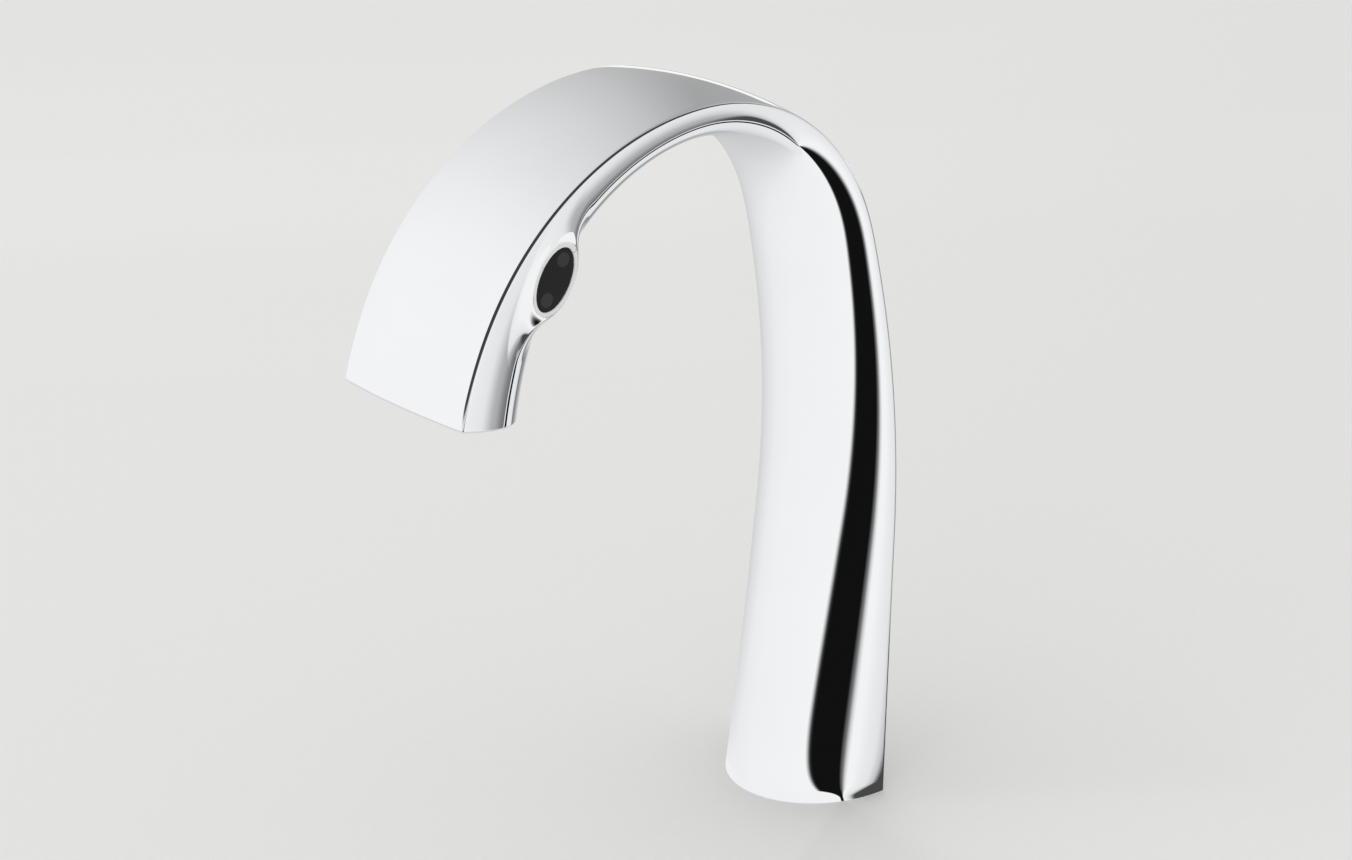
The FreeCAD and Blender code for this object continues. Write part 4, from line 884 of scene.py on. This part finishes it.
def thread_tree(material, values):
    """Node tree of a threaded tube: outer thread with run-outs, ends and bore."""
    tree = new_tree("threaded_tube", values)
    node = functools.partial(add_node, tree)
    given = node("NodeGroupInput").outputs
    sheets = node("GeometryNodeJoinGeometry")
    root = node(SUBTRACT, given["Radius"], given["Depth"])
    # share of the rows from one to the next
    step = node(DIVIDE, 1.0, node(SUBTRACT, given["Rows"], 1.0))

    def wrapped(rows, height_of, radius_of):
        """Grid wrapped round the axis, with its height and radius from row share and turn."""
        grid = node("GeometryNodeMeshGrid", 1.0, 1.0, rows, given["Columns"])
        spot = node("ShaderNodeSeparateXYZ", node("GeometryNodeInputPosition")).outputs
        share = node(ADD, spot[0], 0.5)
        turn = node(MULTIPLY, node(ADD, spot[1], 0.5), 2 * math.pi)
        height = height_of(share)
        radius = radius_of(share, turn, height)
        place = node("ShaderNodeCombineXYZ", node(MULTIPLY, radius, node(COSINE, turn)),
                     node(MULTIPLY, radius, node(SINE, turn)), height)
        shaped = node("GeometryNodeSetPosition", grid, named={"Position": place})
        tree.links.new(shaped.outputs[0], sheets.inputs[0])

    def thread_height(share):
        """From end to end, with the first two rows and the last two at one height."""
        return node("ShaderNodeMapRange", share, step, node(SUBTRACT, 1.0, step),
                    given["Low"], given["High"])

    def thread_radius(share, turn, height):
        """Rounded ridges between the two run-outs, and the bore at the first and last row."""
        turns_up = node(MULTIPLY, node(DIVIDE, height, given["Pitch"]), 2 * math.pi)
        wave = node(MULTIPLY_ADD, node(SINE, node(SUBTRACT, turns_up, turn)), THREAD_WAVE, 0.5)
        ridge = node(MINIMUM, node(MAXIMUM, wave, 0.0), 1.0)
        inside = node(MINIMUM, node(SUBTRACT, height, given["Low"]),
                      node(SUBTRACT, given["High"], height))
        fade = node("ShaderNodeMapRange", inside, 0.0, given["Run-out"], 0.0, 1.0)
        raised = node(MULTIPLY, node(MULTIPLY, ridge, fade), given["Depth"])
        outer = node(ADD, root, raised)
        from_middle = node(ABSOLUTE, node(SUBTRACT, share, 0.5))
        at_end = node(GREATER_THAN, from_middle, node(SUBTRACT, 0.5, node(MULTIPLY, step, 0.5)))
        return node(ADD, outer, node(MULTIPLY, at_end, node(SUBTRACT, given["Bore"], outer)))

    wrapped(given["Rows"], thread_height, thread_radius)
    # the bore runs the other way, so that its faces look at the axis
    wrapped(2, lambda share: node("ShaderNodeMapRange", share, 0.0, 1.0,
                                  given["High"], given["Low"]),
            lambda share, turn, height: given["Bore"])
    welded = node("GeometryNodeMergeByDistance", sheets, named={"Distance": WELD})
    bend = node("GeometryNodeInputMeshEdgeAngle")
    is_smooth = node("FunctionNodeCompare", bend.outputs[0], SHARP_BEND,
                     data_type="FLOAT", operation="LESS_THAN")
    smooth_faces = node("GeometryNodeSetShadeSmooth", welded)
    smooth = node("GeometryNodeSetShadeSmooth", smooth_faces, None, is_smooth, domain="EDGE")
    real = node("GeometryNodeRealizeInstances", smooth)
    node("NodeGroupOutput", node("GeometryNodeSetMaterial", real, named={"Material": material}))
    return tree


class TAP_OT_shank(bpy.types.Operator):
    """Threaded shank below the deck"""
    bl_idname = "sensor_tap.shank"
    bl_label = "Threaded shank"

    def execute(self, context):
        sizes = context.scene.tap_thread
        lowest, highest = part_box("mounting_shank")
        values = {
            "Low": lowest.z, "High": highest.z, "Radius": sizes.radius, "Bore": sizes.bore,
            "Pitch": sizes.pitch, "Depth": sizes.depth, "Run-out": sizes.runout,
            "Rows": sizes.rows, "Columns": sizes.columns}
        brass = bpy.data.materials["turned_brass"]
        shank = grown_mesh("shank", thread_tree(brass, values), values)
        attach(shank, "root")
        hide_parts("mounting_shank")
        return {"FINISHED"}


# ---- stage -----------------------------------------------

# brightness of the walls that gloss sees, from behind the bright one (0) to its middle (1)
WALL_LEVELS = [
    (0.0, 0.62), (0.3, 0.46), (0.46, 0.40), (0.54, 0.60), (0.61, 0.71), (0.68, 0.79),
    (0.75, 0.86), (0.81, 0.92), (0.89, 0.98), (0.93, 1.0), (1.0, 1.0)]
DARK_WALL = (0.05, 0.05, 0.052, 1.0)

# headings round the tap in degrees from +X, and the brightness of the flags there
FLAG_LEVELS = [
    (-180, 0.82), (-162, 0.93), (-140, 0.97), (-66, 1.0), (-61, 0.05), (-58, 0.006),
    (-16, 0.006), (-10, 0.2), (-5, 0.72), (0, 1.0), (10, 1.0), (24, 0.92), (40, 0.86),
    (48, 0.66), (55, 0.5), (64, 0.44), (76, 0.26), (92, 0.14), (120, 0.18), (134, 0.4),
    (144, 0.62), (164, 0.72), (180, 0.82)]
# dark card on the floor behind the foot: middle heading, and where it fades, in shares of a turn
CARD_MIDDLE, CARD_FADE = 0.725, (0.085, 0.065)
CARD_EDGE = (120 * MM, 150 * MM)
DARK_CARD = (0.07, 0.07, 0.07, 1.0)


def make_world(sizes):
    """Even light on dull surfaces; gloss sees a bright wall on the left and a dark one behind
    the camera."""
    world = bpy.data.worlds.new("studio")
    world.use_nodes = True
    tree = world.node_tree
    node = functools.partial(add_node, tree)
    way = node("ShaderNodeTexCoord").outputs["Generated"]
    towards_wall, towards_dark = (
        node("ShaderNodeVectorMath:DOT_PRODUCT", way, (math.cos(heading), math.sin(heading), 0.0))
        .outputs["Value"] for heading in (sizes.wall_heading, sizes.dark_heading))
    share = node("ShaderNodeMapRange", towards_wall, -1.0, 1.0, 0.0, 1.0)
    wall = node("ShaderNodeValToRGB", share, stops=WALL_LEVELS)
    # the dark wall starts square to its heading, a little above the horizon
    height = node("ShaderNodeSeparateXYZ", way).outputs[2]
    dark = node("ShaderNodeMapRange", towards_dark, 0.02, 0.10, 0.0, 1.0,
                interpolation_type="SMOOTHSTEP")
    above = node("ShaderNodeMapRange", height, 0.05, 0.13, 0.0, 1.0,
                 interpolation_type="SMOOTHSTEP")
    seen = node("ShaderNodeMix", node(MULTIPLY, dark, above), data_type="RGBA", named={
        COLOUR_A: wall, COLOUR_B: DARK_WALL})
    room = sizes.room_light
    glossy = node("ShaderNodeLightPath").outputs["Is Glossy Ray"]
    colour = node("ShaderNodeMix", glossy, data_type="RGBA", named={
        COLOUR_A: (room, room, room, 1.0), COLOUR_B: seen.outputs[COLOUR_OUT]})
    tree.links.new(colour.outputs[COLOUR_OUT], tree.nodes["Background"].inputs["Color"])
    return world


def flags_material():
    """Ring of studio flags and bounce boards on the floor, by direction round the tap."""
    material = bpy.data.materials.new("studio_flags")
    material.use_nodes = True
    tree = material.node_tree
    tree.nodes.clear()
    node = functools.partial(add_node, tree)
    spot = node("ShaderNodeTexCoord").outputs["Object"]
    turn = node("ShaderNodeTexGradient", spot, gradient_type="RADIAL").outputs[1]
    flags = node("ShaderNodeValToRGB", turn, stops=[
        ((heading + 180) / 360, level) for heading, level in FLAG_LEVELS])
    # the card shows in the underside of the arch
    apart = node(ABSOLUTE, node(SUBTRACT, turn, CARD_MIDDLE))
    within = node("ShaderNodeMapRange", apart, *CARD_FADE, 0.0, 1.0)
    away = node("ShaderNodeVectorMath:LENGTH", spot).outputs["Value"]
    near = node("ShaderNodeMapRange", away, *CARD_EDGE, 1.0, 0.0)
    seen = node("ShaderNodeMix", node(MULTIPLY, within, near), data_type="RGBA", named={
        COLOUR_A: flags, COLOUR_B: DARK_CARD})
    light = node("ShaderNodeEmission", seen.outputs[COLOUR_OUT], 1.0)
    node("ShaderNodeOutputMaterial", light)
    return material


def add_sweep(paint):
    """Lets metal show the white sweep that the floor runs into, in place of its paint."""
    tree = paint.node_tree
    node = functools.partial(add_node, tree)
    sweep = node("ShaderNodeEmission", (1.0, 1.0, 1.0, 1.0), 1.0)
    glossy = node("ShaderNodeLightPath").outputs["Is Glossy Ray"]
    shown = node("ShaderNodeMixShader", glossy, tree.nodes["Principled BSDF"], sweep)
    tree.links.new(shown.outputs[0], tree.nodes["Material Output"].inputs["Surface"])


class TAP_OT_stage(bpy.types.Operator):
    """Floor, studio flags, light and camera"""
    bl_idname = "sensor_tap.stage"
    bl_label = "Stage"

    def execute(self, context):
        scene = context.scene
        sizes = scene.tap_stage
        bpy.ops.mesh.primitive_plane_add(size=sizes.floor_size)
        floor = context.object
        floor.name = "floor"
        paint = bpy.data.materials["matt_emulsion"]
        add_sweep(paint)
        floor.data.materials.append(paint)
        bpy.ops.mesh.primitive_circle_add(
            vertices=96, radius=sizes.flags_radius, fill_type="NGON",
            location=(sizes.flags_offset, 0.0, sizes.flags_height))
        flags = context.object
        flags.name = "studio_flags"
        flags.data.materials.append(flags_material())
        # only gloss sees the flags
        for ray in ("camera", "diffuse", "transmission", "volume_scatter", "shadow"):
            setattr(flags, "visible_" + ray, False)
        scene.world = make_world(sizes)
        scene.view_settings.view_transform = "Standard"
        camera = bpy.data.objects.new("camera", bpy.data.cameras.new("camera"))
        scene.collection.objects.link(camera)
        camera.data.lens = sizes.lens
        camera.data.sensor_width = sizes.sensor
        turn, tilt = sizes.azimuth, sizes.elevation
        back = Vector((math.sin(turn) * math.cos(tilt), -math.cos(turn) * math.cos(tilt),
                       math.sin(tilt)))
        camera.location = Vector(sizes.target) + back * sizes.distance
        camera.rotation_mode = "QUATERNION"
        camera.rotation_quaternion = (-back).to_track_quat("-Z", "Y")
        scene.camera = camera
        return {"FINISHED"}


class TAP_PT_panel(bpy.types.Panel):
    """Lists the steps that dress the tap"""
    bl_label = "Sensor tap"
    bl_idname = "TAP_PT_panel"
    bl_space_type = "VIEW_3D"
    bl_region_type = "UI"
    bl_category = "Tap"

    def draw(self, context):
        for operator in OPERATORS:
            self.layout.operator(operator.bl_idname)


OPERATORS = (TAP_OT_finishes, TAP_OT_spout, TAP_OT_window, TAP_OT_shank, TAP_OT_stage)
GROUPS = {"tap_spout": SpoutSizes, "tap_eye": EyeSizes, "tap_thread": ThreadSizes,
          "tap_colours": FinishColours, "tap_stage": StageSizes}
CLASSES = (*GROUPS.values(), *OPERATORS, TAP_PT_panel)


def register():
    """Makes the groups, the operators and the panel known."""
    for each in CLASSES:
        bpy.utils.register_class(each)
    for name, group in GROUPS.items():
        setattr(bpy.types.Scene, name, bpy.props.PointerProperty(type=group))


def unregister():
    """Takes them out again."""
    for name in GROUPS:
        delattr(bpy.types.Scene, name)
    for each in reversed(CLASSES):
        bpy.utils.unregister_class(each)


def main():
    """Dresses the tap."""
    register()
    bpy.ops.sensor_tap.finishes()
    bpy.ops.sensor_tap.spout()
    bpy.ops.sensor_tap.window()
    bpy.ops.sensor_tap.shank()
    bpy.ops.sensor_tap.stage()


if __name__ == "__main__":
    main()
